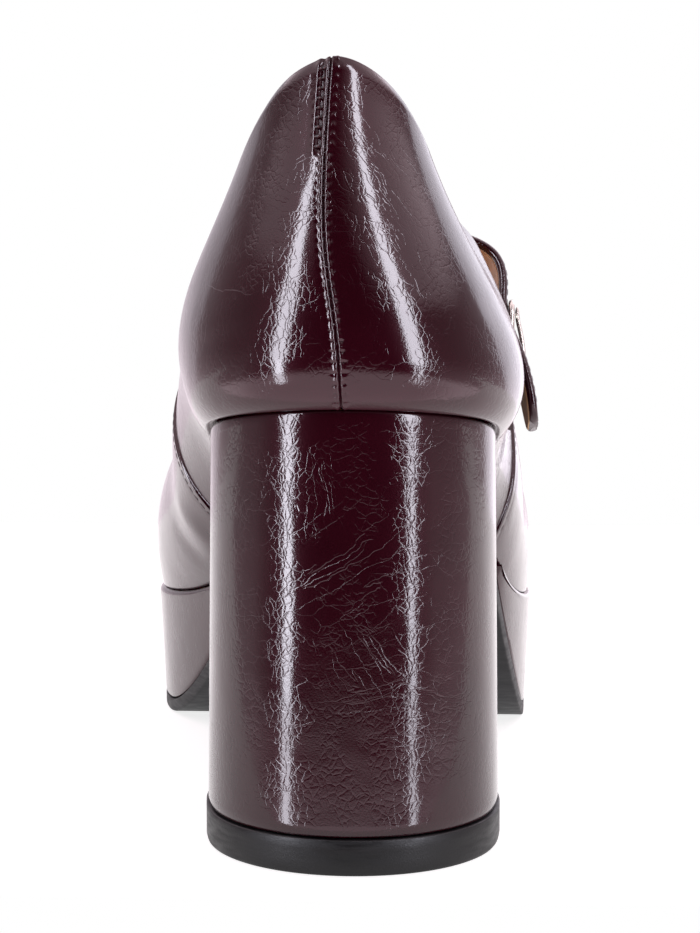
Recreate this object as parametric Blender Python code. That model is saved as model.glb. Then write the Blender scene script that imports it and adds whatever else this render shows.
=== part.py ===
"""Platform mary jane for the right foot: a leather upper on a covered platform and a covered block heel.

The shoe stands on the floor at z = 0 with its toe towards +Y and its outer side towards +X.
"""

import math
from collections import namedtuple

import bmesh
import bpy
import numpy as np
from mathutils import Vector
from mathutils.bvhtree import BVHTree

for leftover in list(bpy.data.objects):
    bpy.data.objects.remove(leftover)

MM = 0.001

# Driving sizes of the shoe
LENGTH = 229.5 * MM
BALL_WIDTH = 94.0 * MM
HEEL_HEIGHT = 80.0 * MM
PLATFORM_HEIGHT = 30.0 * MM
BACK_HEIGHT = 58.5 * MM
GAP = 0.3 * MM

# Sizes of the last that the section table is drawn for
PATTERN_LENGTH = 229.5 * MM
PATTERN_BALL_WIDTH = 94.0 * MM
PATTERN_BACK_HEIGHT = 58.5 * MM
GRADE_ALONG = LENGTH / PATTERN_LENGTH
GRADE_ACROSS = BALL_WIDTH / PATTERN_BALL_WIDTH
GRADE_UP = BACK_HEIGHT / PATTERN_BACK_HEIGHT

# Upper
WALL = 2.0 * MM
VAMP_STEP = 0.5 * MM
VAMP_STEP_FADE = 26.0 * MM
COLUMNS_PER_SECTION = 3
ROWS_UP_THE_WALL = 12
RIM_ROUNDING = 0.5 * MM

# Sole
SEAT_TURN = 27.0 * MM
TOE_TURN = 190.0 * MM
EDGE_SAMPLES = 600
INSOLE_THICKNESS = 3.0 * MM
OUTSOLE_THICKNESS = 3.0 * MM
OUTSOLE_REAR = 61.2 * MM
OUTSOLE_BEVEL = 0.3 * MM
WAIST_INSET = 0.4 * MM
WAIST_STEP = 4.0 * MM
OUTSOLE_WIDENING = 12.0 * MM
PLATFORM_LEDGE = 0.9 * MM
PLATFORM_TAPER = 1.4 * MM
PLATFORM_EDGE_ROUNDING = 1.4 * MM
PLATFORM_REAR = 93.0 * MM
WAIST_END = 88.0 * MM
TREAD_START = 134.0 * MM
TREAD_END = 172.0 * MM
TOE_SPRING = 8.5 * MM
SLOPE_REAR_HANDLE = 8.0 * MM
SLOPE_FRONT_HANDLE = 24.0 * MM

# Heel
LIFT_THICKNESS = 6.3 * MM
LIFT_PROUD = 0.35 * MM
LIFT_BEVEL = 0.5 * MM
HEEL_BREAST_TOP = 60.0 * MM
HEEL_BREAST_BOTTOM = 51.0 * MM
HEEL_OUTSET = 0.9 * MM
HEEL_FLARE = 1.03
HEEL_EDGE_ROUNDING = 0.9 * MM
HEEL_LEVELS = 8

# Strap and buckle. Strap heights are measured down the strap from where it crosses the instep.
STRAP_WIDTH = 14.0 * MM
STRAP_THICKNESS = 2.0 * MM
STRAP_LEAN = math.radians(25.0)
STRAP_TOP_ALONG = 95.0 * MM
STRAP_TOP_HEIGHT = 111.7 * MM
STRAP_OUTER_SIDE = -13.9 * MM
STRAP_INNER_SIDE = -15.9 * MM
STRAP_INNER_END = -29.9 * MM
STRAP_INNER_STEPS = 5
STRAP_FULLNESS = 3.3
STRAP_STAND_OFF = 0.9 * MM
STRAP_STATIONS = 48
STRAP_RAYS = 7
TAIL_END = -42.6 * MM
TAIL_ROUNDING = 6.0 * MM
TAIL_TIP = 2.5 * MM
TAIL_LEAN = 0.20
BUCKLE_WIRE = 1.3 * MM
BUCKLE_UPPER_BAR = -16.9 * MM
BUCKLE_LOWER_BAR = -28.9 * MM
BUCKLE_CORNER = 3.0 * MM
PRONG_WIRE = 1.0 * MM
PRONG_FOOT = 2.5 * MM
PRONG_TIP = 1.6 * MM
PRONG_BOW = 0.2 * MM
TAB_WIDTH = 9.0 * MM
TAB_THICKNESS = 0.9 * MM
TAB_END = -41.9 * MM
TAB_STATIONS = 6
WIRE_SIDES = 8

# One row for each section of the last, from the back of the heel to the toe, in millimetres at the
# pattern size. A section runs up the wall from the foot, its edge at the sole, to the top, its edge at
# the opening. "in" is the inner side of the foot and "out" the outer side, both measured from the middle
# line. low and high are the handles of the wall's curve: how far it stands out and how far it reaches.
Section = namedtuple(
    "Section",
    "foot_along foot_in foot_out top_along top_up top_in top_out"
    " low_in low_out low_up high_in high_out high_down",
)
SECTIONS = (
    Section(2.0, 0.0, 0.0, 8.0, 58.5, 2.6, -2.6, 13.8, 13.8, 8.0, 2.5, 2.5, 20.0),
    Section(6.4, 14.3, 14.3, 14.9, 53.5, 13.5, 8.4, 13.0, 14.0, 8.0, 4.2, 4.2, 20.0),
    Section(16.4, 22.6, 22.6, 26.2, 45.0, 19.6, 13.6, 11.0, 11.5, 8.0, 7.6, 8.0, 20.0),
    Section(27.0, 25.0, 25.0, 34.8, 38.0, 22.6, 15.9, 9.6, 12.0, 8.0, 11.6, 11.5, 20.0),
    Section(45.0, 24.8, 25.2, 47.0, 31.5, 26.6, 22.2, 9.6, 12.0, 9.0, 11.2, 10.0, 19.0),
    Section(61.0, 23.6, 25.8, 68.0, 25.0, 29.9, 26.8, 11.2, 9.6, 13.0, 10.0, 6.0, 17.0),
    Section(76.0, 22.6, 27.5, 92.0, 18.5, 31.8, 29.8, 17.0, 7.2, 14.0, 10.0, 3.4, 15.0),
    Section(90.0, 24.5, 31.0, 117.0, 8.0, 32.5, 30.5, 20.5, 9.0, 15.0, 11.0, 8.0, 12.0),
    Section(112.0, 35.0, 38.5, 130.0, 0.5, 28.5, 28.0, 14.0, 5.0, 17.0, 16.0, 12.0, 7.0),
    Section(138.0, 45.5, 44.0, 139.5, -4.0, 22.0, 21.5, 5.0, 2.5, 20.0, 22.0, 20.0, 3.0),
    Section(165.0, 45.0, 44.0, 145.5, -6.5, 14.5, 14.5, 5.0, 4.0, 22.0, 22.0, 21.0, 2.0),
    Section(190.0, 39.0, 38.5, 148.3, -7.7, 9.0, 9.0, 5.0, 5.0, 23.0, 25.0, 25.0, 3.0),
    Section(209.0, 29.5, 29.5, 149.4, -8.2, 5.5, 5.5, 4.5, 4.5, 23.0, 31.0, 31.0, 5.0),
    Section(223.5, 15.5, 15.5, 149.9, -8.4, 2.6, 2.6, 3.5, 3.5, 23.0, 37.0, 37.0, 7.0),
    Section(229.5, 0.0, 0.0, 150.0, -8.5, 0.0, 0.0, 3.0, 3.0, 23.0, 40.0, 40.0, 8.0),
)
VAMP_SECTION = 7

# Height of the last's bottom, as a share of the climb from the platform to the heel, and how far its
# middle line swings to the inner side
Profile = namedtuple("Profile", "along climb swing")
PROFILE = (
    Profile(-10.0, 1.034, 0.0),
    Profile(0.0, 1.000, 0.0),
    Profile(13.0, 0.954, 0.1),
    Profile(26.0, 0.905, 0.3),
    Profile(45.0, 0.805, 0.9),
    Profile(65.0, 0.630, 1.8),
    Profile(80.0, 0.430, 2.6),
    Profile(90.0, 0.283, 3.2),
    Profile(100.0, 0.160, 3.9),
    Profile(110.0, 0.082, 4.7),
    Profile(121.0, 0.034, 5.6),
    Profile(140.0, 0.004, 7.0),
    Profile(160.0, 0.000, 8.2),
    Profile(185.0, 0.010, 9.2),
    Profile(205.0, 0.045, 9.8),
    Profile(236.0, 0.135, 10.4),
)


def spline(knots, values, at, closed=False):
    """A cubic curve with smooth bends through values at knots, natural at its ends or joined up."""
    knots = np.asarray(knots, float)
    values = np.asarray(values, float)
    count = len(knots)
    step = np.diff(knots)
    slope = np.diff(values, axis=0) / step.reshape(-1, *[1] * (values.ndim - 1))
    matrix = np.zeros((count, count))
    right = np.zeros_like(values)
    for row in range(1, count - 1):
        matrix[row, row - 1 : row + 2] = step[row - 1], 2 * (step[row - 1] + step[row]), step[row]
        right[row] = 6 * (slope[row] - slope[row - 1])
    if closed:
        matrix[0, 0], matrix[0, -1] = 1, -1
        matrix[-1, 0], matrix[-1, 1] = 2 * step[0], step[0]
        matrix[-1, -2], matrix[-1, -1] = step[-1], 2 * step[-1]
        right[-1] = 6 * (slope[0] - slope[-1])
    else:
        matrix[0, 0] = matrix[-1, -1] = 1
    bend = np.linalg.solve(matrix, right.reshape(count, -1)).reshape(values.shape)
    at = np.asarray(at, float)
    cell = np.clip(np.searchsorted(knots, at) - 1, 0, count - 2)
    width = step[cell]
    before = (knots[cell + 1] - at) / width
    after = (at - knots[cell]) / width
    if values.ndim > 1:
        width, before, after = (x[..., None] for x in (width, before, after))
    flat = before * values[cell] + after * values[cell + 1]
    curve = (before**3 - before) * bend[cell] + (after**3 - after) * bend[cell + 1]
    return flat + curve * width**2 / 6


def column(table, name):
    return np.array([getattr(row, name) for row in table]) * MM


PROFILE_ALONG = column(PROFILE, "along") * GRADE_ALONG


def bottom_of_last(along):
    """Height of the last's bottom edge above the floor."""
    climb = spline(PROFILE_ALONG, [row.climb for row in PROFILE], along)
    return PLATFORM_HEIGHT + (HEEL_HEIGHT - PLATFORM_HEIGHT) * climb


def middle_line(along):
    """Sideways place of the last's middle line."""
    return -spline(PROFILE_ALONG, column(PROFILE, "swing") * GRADE_ACROSS, along)


def ring_of(inner, outer, both):
    """Joins the table's inner column and its mirrored outer column into one ring, back to toe to back."""
    inner, outer, both = (column(SECTIONS, name) for name in (inner, outer, both))
    across = np.concatenate([-inner, outer[-2:0:-1]]) * GRADE_ACROSS
    along = np.concatenate([both, both[-2:0:-1]]) * GRADE_ALONG
    return np.stack([across, along], axis=1)


def close_ring(ring):
    return np.concatenate([ring, ring[:1]])


FOOT_RING = close_ring(ring_of("foot_in", "foot_out", "foot_along"))
TOP_RING = close_ring(ring_of("top_in", "top_out", "top_along"))
TOP_UP = column(SECTIONS, "top_up") * GRADE_UP
RING_PLACE = np.concatenate([[0.0], np.cumsum(np.linalg.norm(np.diff(FOOT_RING, axis=0), axis=1))])
VAMP_INNER_PLACE = RING_PLACE[VAMP_SECTION]
VAMP_OUTER_PLACE = RING_PLACE[len(RING_PLACE) - 1 - VAMP_SECTION]


def around(ring, place):
    return spline(RING_PLACE, ring, place, closed=True)


def column_around(inner, outer, place):
    """A handle's length at a place on the ring, from the table's two columns."""
    ring = np.concatenate([column(SECTIONS, inner), column(SECTIONS, outer)[-2::-1]])
    return around(ring, place)


def with_middle(plan):
    """Moves a plan point measured from the middle line into the shoe's frame."""
    return np.stack([plan[..., 0] + middle_line(plan[..., 1]), plan[..., 1]], axis=-1)


def foot_plan(place):
    """The last's bottom edge in plan, and the direction that points out of it."""
    reach = 0.2 * MM
    last = RING_PLACE[-1]
    plan = with_middle(around(FOOT_RING, place))
    ahead = with_middle(around(FOOT_RING, (place + reach) % last))
    behind = with_middle(around(FOOT_RING, (place - reach) % last))
    tangent = ahead - behind
    tangent /= np.linalg.norm(tangent, axis=-1, keepdims=True)
    outward = np.stack([-tangent[..., 1], tangent[..., 0]], axis=-1)
    return plan, outward


def wall_step(place):
    """How far the vamp's leather stands over the quarter's: one thickness at its edge, fading forwards."""
    ahead = np.minimum(place - VAMP_INNER_PLACE, VAMP_OUTER_PLACE - place)
    share = np.clip(ahead / VAMP_STEP_FADE, 0, 1)
    fade = 1 - share**2 * (3 - 2 * share)
    return np.where(ahead >= 0, VAMP_STEP * fade, 0.0)


def wall_curve(place, height):
    """Outer face of the upper: a curve up each section from the foot to the top, with two handles."""
    place, height = np.broadcast_arrays(place, height)
    foot, outward = foot_plan(place)
    top = with_middle(around(TOP_RING, place))
    foot_up = bottom_of_last(foot[..., 1])
    top_up = HEEL_HEIGHT + around(np.concatenate([TOP_UP, TOP_UP[-2::-1]]), place)
    low_out = column_around("low_in", "low_out", place)[..., None]
    high_out = column_around("high_in", "high_out", place)[..., None]
    low_up = column_around("low_up", "low_up", place)
    high_down = column_around("high_down", "high_down", place)
    start = np.concatenate([foot, foot_up[..., None]], axis=-1)
    end = np.concatenate([top, top_up[..., None]], axis=-1)
    low = np.concatenate([foot + outward * low_out, (foot_up + low_up)[..., None]], axis=-1)
    high = np.concatenate([top + outward * high_out, (top_up - high_down)[..., None]], axis=-1)
    t = height[..., None]
    bow = 3 * (1 - t) ** 2 * t * low + 3 * (1 - t) * t**2 * high
    return (1 - t) ** 3 * start + bow + t**3 * end


def grid_normals(points, outward):
    """Directions out of a grid that is closed along its first index."""
    along = np.roll(points, -1, axis=0) - np.roll(points, 1, axis=0)
    up = np.gradient(points, axis=1)
    normals = np.cross(up, along)
    normals /= np.linalg.norm(normals, axis=-1, keepdims=True)
    facing = np.sum(normals[:, 0, :2] * outward, axis=-1)
    return normals * np.sign(facing)[:, None, None]


def upper_places():
    """Places of the wall's columns, with a close pair at each edge of the vamp."""
    places = []
    for start, end in zip(RING_PLACE[:-1], RING_PLACE[1:]):
        places += list(np.linspace(start, end, COLUMNS_PER_SECTION, endpoint=False))
    edge = VAMP_STEP / 2
    places = [p for p in places if min(abs(p - VAMP_INNER_PLACE), abs(p - VAMP_OUTER_PLACE)) > edge]
    for seam in (VAMP_INNER_PLACE, VAMP_OUTER_PLACE):
        places += [seam - edge / 2, seam + edge / 2]
    return np.array(sorted(places))


def upper_faces():
    """Outer and inner faces of the upper's wall as two grids of points."""
    places = upper_places()
    heights = np.linspace(0, 1, ROWS_UP_THE_WALL + 1)
    _, outward = foot_plan(places)
    bare = wall_curve(places[:, None], heights[None, :])
    normals = grid_normals(bare, outward)
    flat = np.concatenate([outward, np.zeros((len(outward), 1))], axis=1)
    normals[:, 0] = flat
    outer = bare + normals * wall_step(places)[:, None, None]
    return outer, bare - normals * WALL


OUTER_FACE, INNER_FACE = upper_faces()


def raised(profile, by):
    """A side view moved by a distance square to itself, upwards."""
    tangent = np.gradient(profile, axis=0)
    tangent /= np.linalg.norm(tangent, axis=1, keepdims=True)
    return profile + by * np.stack([-tangent[:, 1], tangent[:, 0]], axis=1)


def underside_profile():
    """Side view of the outsole's lower face, from the heel's breast to the toe, as along and up."""
    waist = np.linspace(HEEL_BREAST_BOTTOM, WAIST_END, 16)
    waist = np.stack([waist, bottom_of_last(waist)], axis=1)
    waist = raised(waist, -OUTSOLE_THICKNESS - GAP)
    start = waist[-1]
    direction = (start - waist[-2]) / np.linalg.norm(start - waist[-2])
    end = np.array([TREAD_START, 0.0])
    low = start + direction * SLOPE_REAR_HANDLE
    high = end - np.array([SLOPE_FRONT_HANDLE, 0.0])
    t = np.linspace(0, 1, 13)[1:, None]
    bow = 3 * (1 - t) ** 2 * t * low + 3 * (1 - t) * t**2 * high
    slope = (1 - t) ** 3 * start + bow + t**3 * end
    share = np.linspace(0, 1, 13)
    spring = TREAD_END + (LENGTH + PLATFORM_LEDGE - TREAD_END) * share
    toe = np.stack([spring, TOE_SPRING * share**2], axis=1)
    return np.concatenate([waist, slope, toe])


UNDERSIDE = underside_profile()
OUTSOLE_TOP = raised(UNDERSIDE, OUTSOLE_THICKNESS)
PLATFORM_BOTTOM = raised(UNDERSIDE, OUTSOLE_THICKNESS + GAP)


def height_on(profile, along):
    return np.interp(along, profile[:, 0], profile[:, 1])


def edge_places(alongs):
    """Places on the last's edge at the given distances along: up the inner side, back down the outer."""
    half = len(SECTIONS) - 1
    rising = np.linspace(0, RING_PLACE[half], EDGE_SAMPLES)
    falling = np.linspace(RING_PLACE[-1], RING_PLACE[half], EDGE_SAMPLES)
    inner = np.interp(alongs, around(FOOT_RING, rising)[:, 1], rising)
    outer = np.interp(alongs, around(FOOT_RING, falling)[:, 1], falling)
    return np.concatenate([inner, outer[-2::-1]])


def sole_places(rear):
    """Places round the sole's edge from the inner rear corner by the toe to the outer rear corner."""
    waist = np.arange(rear, PLATFORM_REAR - WAIST_STEP / 2, WAIST_STEP)
    slope = np.linspace(PLATFORM_REAR, TREAD_START, 13, endpoint=False)
    middle = np.linspace(TREAD_START, TOE_TURN, 9, endpoint=False)
    turn = np.radians(np.linspace(0, 90, 9))
    front = TOE_TURN + (LENGTH - TOE_TURN) * np.sin(turn)
    return edge_places(np.concatenate([waist, slope, middle, front]))


def level(place, outset, up):
    """One closed line round a sole piece: the last's edge moved outwards, at the height up gives."""
    plan, outward = foot_plan(place)
    plan = plan + outward * np.broadcast_to(outset, place.shape)[:, None]
    return np.concatenate([plan, up(plan[:, 1])[:, None]], axis=1)


def make_material(name, colour, roughness, metallic=0.0):
    material = bpy.data.materials.new(name)
    material.use_nodes = True
    shader = material.node_tree.nodes["Principled BSDF"]
    shader.inputs["Base Color"].default_value = (*colour, 1.0)
    shader.inputs["Roughness"].default_value = roughness
    shader.inputs["Metallic"].default_value = metallic
    return material


def make_object(name, points, faces, material, shoe):
    """A named solid with its faces turned out, shaded smooth, carried by the shoe."""
    mesh = bpy.data.meshes.new(name)
    mesh.from_pydata([tuple(p) for p in points], [], [tuple(f) for f in faces])
    sheet = bmesh.new()
    sheet.from_mesh(mesh)
    bmesh.ops.recalc_face_normals(sheet, faces=sheet.faces)
    sheet.to_mesh(mesh)
    sheet.free()
    mesh.materials.append(material)
    mesh.shade_smooth()
    mesh.set_sharp_from_angle(angle=math.radians(35))
    solid = bpy.data.objects.new(name, mesh)
    bpy.context.scene.collection.objects.link(solid)
    solid.parent = shoe
    return solid


def skin(rings, closed_along=False):
    """Points and faces of the surface through closed rings of equal counts."""
    rings = np.asarray(rings)
    count, size = rings.shape[:2]
    faces = []
    for ring in range(count if closed_along else count - 1):
        this, following = ring * size, (ring + 1) % count * size
        for corner in range(size):
            nearby = (corner + 1) % size
            faces.append((this + corner, this + nearby, following + nearby, following + corner))
    return rings.reshape(-1, 3), faces


def strips_across(start, size, starts_at_back):
    """Faces that close a ring by strips from its inner edge straight across to its outer edge."""
    total = size if starts_at_back else size - 1
    faces = []
    for corner in range(size // 2):
        far = total - corner
        face = [start + c % size for c in (corner, corner + 1, far - 1, far)]
        faces.append(list(dict.fromkeys(face)))
    return faces


def slab(rings, starts_at_back=False):
    """A solid of rings stacked from top to bottom, closed by strips across its first and last ring."""
    points, faces = skin(rings)
    size = len(rings[0])
    faces += strips_across(0, size, starts_at_back)
    faces += strips_across((len(rings) - 1) * size, size, starts_at_back)
    return points, faces


def make_upper(material, shoe):
    outer, inner = OUTER_FACE, INNER_FACE
    rim = (outer[:, -1] + inner[:, -1]) / 2 + np.array([0, 0, RIM_ROUNDING])
    rings = [outer[:, k] for k in range(outer.shape[1])]
    rings.append(rim)
    rings += [inner[:, k] for k in range(inner.shape[1] - 1, -1, -1)]
    return make_object("upper", *skin(rings, closed_along=True), material, shoe)


def make_insole(material, shoe):
    """The footbed: it fills the upper's open bottom, a gap inside its wall."""
    plan, outward = foot_plan(upper_places())
    plan = plan - outward * (WALL + GAP)
    base = bottom_of_last(plan[:, 1])
    rings = [np.concatenate([plan, (base + up)[:, None]], axis=1) for up in (INSOLE_THICKNESS, 0.0)]
    return make_object("insole", *slab(rings, starts_at_back=True), material, shoe)


def make_platform(material, shoe):
    """The covered platform: a wedge that starts at the waist and carries the whole forefoot."""
    places = sole_places(PLATFORM_REAR)

    def top(along):
        return bottom_of_last(along) - GAP

    def bottom(along):
        return height_on(PLATFORM_BOTTOM, along)

    def edge(share):
        return lambda along: top(along) + (bottom(along) - top(along)) * share

    def below_top(along):
        return top(along) - np.minimum(PLATFORM_EDGE_ROUNDING, (top(along) - bottom(along)) / 3)

    rings = [
        level(places, PLATFORM_LEDGE - PLATFORM_EDGE_ROUNDING, top),
        level(places, PLATFORM_LEDGE, below_top),
        level(places, PLATFORM_LEDGE - PLATFORM_TAPER / 2, edge(0.6)),
        level(places, PLATFORM_LEDGE - PLATFORM_TAPER, bottom),
    ]
    return make_object("platform", *slab(rings), material, shoe)


def make_outsole(material, shoe):
    """The thin sole under waist and platform, from the heel's breast to the toe."""
    places = sole_places(OUTSOLE_REAR)
    plan, _ = foot_plan(places)
    under_platform = np.clip((plan[:, 1] - WAIST_END) / OUTSOLE_WIDENING, 0, 1)
    outset = under_platform * (PLATFORM_LEDGE - PLATFORM_TAPER + WAIST_INSET) - WAIST_INSET

    def top(along):
        return height_on(OUTSOLE_TOP, along)

    def bottom(along):
        return height_on(UNDERSIDE, along)

    rings = [level(places, outset, top), level(places, outset - OUTSOLE_BEVEL, bottom)]
    return make_object("outsole", *slab(rings), material, shoe)


def heel_plan(outset, depth, flare):
    """Plan of the heel at one level: the last's seat edge, from the inner end of the breast to the outer."""
    turn = np.radians(np.linspace(0, 90, 7))
    back = FOOT_RING[0, 1]
    seat = back + (SEAT_TURN - back) * (1 - np.cos(turn))
    sides = np.linspace(SEAT_TURN, HEEL_BREAST_TOP, 4)[1:]
    plan, outward = foot_plan(edge_places(np.concatenate([seat, sides])[::-1]))
    plan = plan + outward * outset
    squeeze = (depth - SEAT_TURN) / (HEEL_BREAST_TOP - SEAT_TURN)
    along = plan[:, 1] + (squeeze - 1) * np.maximum(plan[:, 1] - SEAT_TURN, 0)
    return np.stack([plan[:, 0] * flare, along], axis=1)


def make_heel(material, shoe):
    """The covered block heel: straight and slightly flared, its top cut to the slope of the seat."""
    base = LIFT_THICKNESS + GAP
    plan = heel_plan(HEEL_OUTSET - HEEL_EDGE_ROUNDING, HEEL_BREAST_TOP, 1.0)
    seat = bottom_of_last(plan[:, 1]) - GAP
    rings = [np.concatenate([plan, seat[:, None]], axis=1)]
    for share in np.linspace(1, 0, HEEL_LEVELS):
        depth = HEEL_BREAST_BOTTOM + (HEEL_BREAST_TOP - HEEL_BREAST_BOTTOM) * share**1.6
        flare = HEEL_FLARE + (1 - HEEL_FLARE) * share
        plan = heel_plan(HEEL_OUTSET, depth, flare)
        crown = bottom_of_last(plan[:, 1]) - GAP - HEEL_EDGE_ROUNDING
        up = base + (crown - base) * share
        rings.append(np.concatenate([plan, up[:, None]], axis=1))
    return make_object("heel_block", *slab(rings), material, shoe)


def make_top_lift(material, shoe):
    """The wearing piece under the heel, a hair proud of it, with its lower edge broken."""
    proud = HEEL_OUTSET + LIFT_PROUD
    rings = []
    for outset, up in ((proud, LIFT_THICKNESS), (proud, LIFT_BEVEL), (proud - LIFT_BEVEL, 0.0)):
        plan = heel_plan(outset, HEEL_BREAST_BOTTOM + outset - HEEL_OUTSET, HEEL_FLARE)
        rings.append(np.concatenate([plan, np.full((len(plan), 1), up)], axis=1))
    return make_object("top_lift", *slab(rings), material, shoe)


STRAP_UP = np.array([0.0, math.sin(STRAP_LEAN), math.cos(STRAP_LEAN)])
STRAP_ACROSS = np.array([0.0, math.cos(STRAP_LEAN), -math.sin(STRAP_LEAN)])
STRAP_TOP = np.array([0.0, STRAP_TOP_ALONG, STRAP_TOP_HEIGHT])


def on_strap(sideways, up, across):
    """A point in the shoe's frame from a place on the strap: sideways, up its lean and across its width."""
    sideways, up, across = np.broadcast_arrays(sideways, up, across)
    square = up[..., None] * STRAP_UP + across[..., None] * STRAP_ACROSS
    return STRAP_TOP + sideways[..., None] * np.array([1.0, 0.0, 0.0]) + square


class Sides:
    """The upper's two side walls, measured sideways at a height on the strap."""

    def __init__(self):
        points, faces = skin([OUTER_FACE[:, k] for k in range(OUTER_FACE.shape[1])])
        self.outer = BVHTree.FromPolygons(points.tolist(), faces)
        points, faces = skin([INNER_FACE[:, k] for k in range(INNER_FACE.shape[1])])
        self.inner = BVHTree.FromPolygons(points.tolist(), faces)

    def measure(self, face, start, up, width):
        """The furthest place towards +X that lines across the shoe meet under a band of this width."""
        places = []
        for across in np.linspace(-width / 2, width / 2, STRAP_RAYS):
            hit = face.ray_cast(Vector(on_strap(start, up, across)), Vector((-1, 0, 0)))
            if hit[0]:
                places.append(hit[0].x)
        return max(places)

    def outer_wall(self, up, width):
        """The outermost place of the outer side's wall under a band of this width."""
        return self.measure(self.outer, LENGTH, up, width)

    def inner_wall(self, up, width):
        """The place nearest the foot of the inner side's lining beside a band of this width."""
        return self.measure(self.inner, 0.0, up, width)


SIDES = Sides()


def through(points, count):
    """Evenly spread points on a smooth line through a few given ones."""
    points = np.asarray(points)
    place = np.concatenate([[0.0], np.cumsum(np.linalg.norm(np.diff(points, axis=0), axis=1))])
    return spline(place, points, np.linspace(0, place[-1], count))


def band(line, width, thickness):
    """Rings of a flat band along a line of sideways and up places, its edges slightly eased."""
    tangent = np.gradient(line, axis=0)
    tangent /= np.linalg.norm(tangent, axis=1, keepdims=True)
    normal = np.stack([tangent[:, 1], -tangent[:, 0]], axis=1)
    ease = thickness / 4
    half = np.broadcast_to(width / 2, len(line))
    corners = (
        (half - ease, thickness / 2),
        (half, thickness / 2 - ease),
        (half, ease - thickness / 2),
        (half - ease, -thickness / 2),
        (ease - half, -thickness / 2),
        (-half, ease - thickness / 2),
        (-half, thickness / 2 - ease),
        (ease - half, thickness / 2),
    )
    rings = []
    for across, off in corners:
        place = line + normal * off
        rings.append(on_strap(place[:, 0], place[:, 1], across))
    return np.stack(rings, axis=1)


def capped(rings):
    """A solid through closed rings with a flat face at each end."""
    points, faces = skin(rings)
    size = rings.shape[1]
    last = (len(rings) - 1) * size
    faces.append(tuple(range(size)))
    faces.append(tuple(range(last, last + size)))
    return points, faces


def lower_bar_place():
    """Sideways place of the buckle's lower bar, which lies on the quarter under the strap."""
    return SIDES.outer_wall(BUCKLE_LOWER_BAR, STRAP_WIDTH) + GAP + BUCKLE_WIRE / 2


def under_bar_place():
    """Sideways place of the strap's middle where it runs under the buckle's upper bar."""
    return SIDES.outer_wall(BUCKLE_UPPER_BAR, STRAP_WIDTH) + GAP + STRAP_THICKNESS / 2


def strap_line():
    """The strap's middle line: tail, over the lower bar, under the upper bar, over the instep, inside."""
    off = GAP + STRAP_THICKNESS / 2

    def outside(up):
        return SIDES.outer_wall(up, STRAP_WIDTH) + off

    def inside(up):
        return SIDES.inner_wall(up, STRAP_WIDTH) + off

    over_bar = lower_bar_place() + BUCKLE_WIRE / 2 + off
    under_bar = under_bar_place()
    right = outside(STRAP_OUTER_SIDE) + STRAP_STAND_OFF
    left = inside(STRAP_INNER_SIDE)
    line = [
        (over_bar + TAIL_LEAN * (BUCKLE_LOWER_BAR - TAIL_END), TAIL_END),
        (over_bar, BUCKLE_LOWER_BAR),
        (under_bar, BUCKLE_UPPER_BAR),
        (right, STRAP_OUTER_SIDE),
    ]
    rise = 2 / STRAP_FULLNESS
    for turn in np.radians((24, 42, 66, 90, 114, 138, 156)):
        reach = math.copysign(abs(math.cos(turn)) ** rise, math.cos(turn))
        start = STRAP_OUTER_SIDE if turn < math.pi / 2 else STRAP_INNER_SIDE
        line.append(((right + left + (right - left) * reach) / 2, start * (1 - math.sin(turn) ** rise)))
    for up in np.linspace(STRAP_INNER_SIDE, STRAP_INNER_END, STRAP_INNER_STEPS):
        line.append((inside(up), up))
    line = through(line, STRAP_STATIONS)
    for station, (sideways, up) in enumerate(line):
        if sideways > 0 and up < STRAP_OUTER_SIDE:
            line[station, 0] = max(sideways, outside(up))
        if sideways < 0 and up < STRAP_INNER_SIDE:
            line[station, 0] = max(sideways, inside(up))
    return line


STRAP_LINE = strap_line()


def make_strap(material, shoe):
    """The strap, its tail narrowed to a rounded tip."""
    from_tip = np.concatenate([[0.0], np.cumsum(np.linalg.norm(np.diff(STRAP_LINE, axis=0), axis=1))])
    share = np.clip(from_tip / TAIL_ROUNDING, 0, 1)
    width = 2 * TAIL_TIP + (STRAP_WIDTH - 2 * TAIL_TIP) * np.sqrt(1 - (1 - share) ** 2)
    rings = band(STRAP_LINE, width, STRAP_THICKNESS)
    return make_object("strap", *capped(rings), material, shoe)


def make_tab(material, shoe):
    """The tab that holds the buckle: it lies on the quarter below the lower bar, under the strap's tail."""
    line = []
    for up in np.linspace(TAB_END, BUCKLE_LOWER_BAR - BUCKLE_WIRE / 2 - GAP, TAB_STATIONS):
        line.append((SIDES.outer_wall(up, TAB_WIDTH) + GAP + TAB_THICKNESS / 2, up))
    rings = band(np.array(line), TAB_WIDTH, TAB_THICKNESS)
    return make_object("buckle_tab", *capped(rings), material, shoe)


def tube(path, tangent, square, wire):
    """Rings of a round wire along a flat path; square is the direction that the path's plane faces."""
    tangent = tangent / np.linalg.norm(tangent, axis=1, keepdims=True)
    square = square / np.linalg.norm(square)
    sideways = np.cross(square, tangent)
    rings = []
    for angle in np.linspace(0, 2 * np.pi, WIRE_SIDES, endpoint=False):
        rings.append(path + wire / 2 * (np.cos(angle) * sideways + np.sin(angle) * square))
    return np.stack(rings, axis=1)


def upper_bar_place():
    """Sideways place of the buckle's upper bar: outside the strap."""
    return under_bar_place() + STRAP_THICKNESS / 2 + GAP + BUCKLE_WIRE / 2


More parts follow.
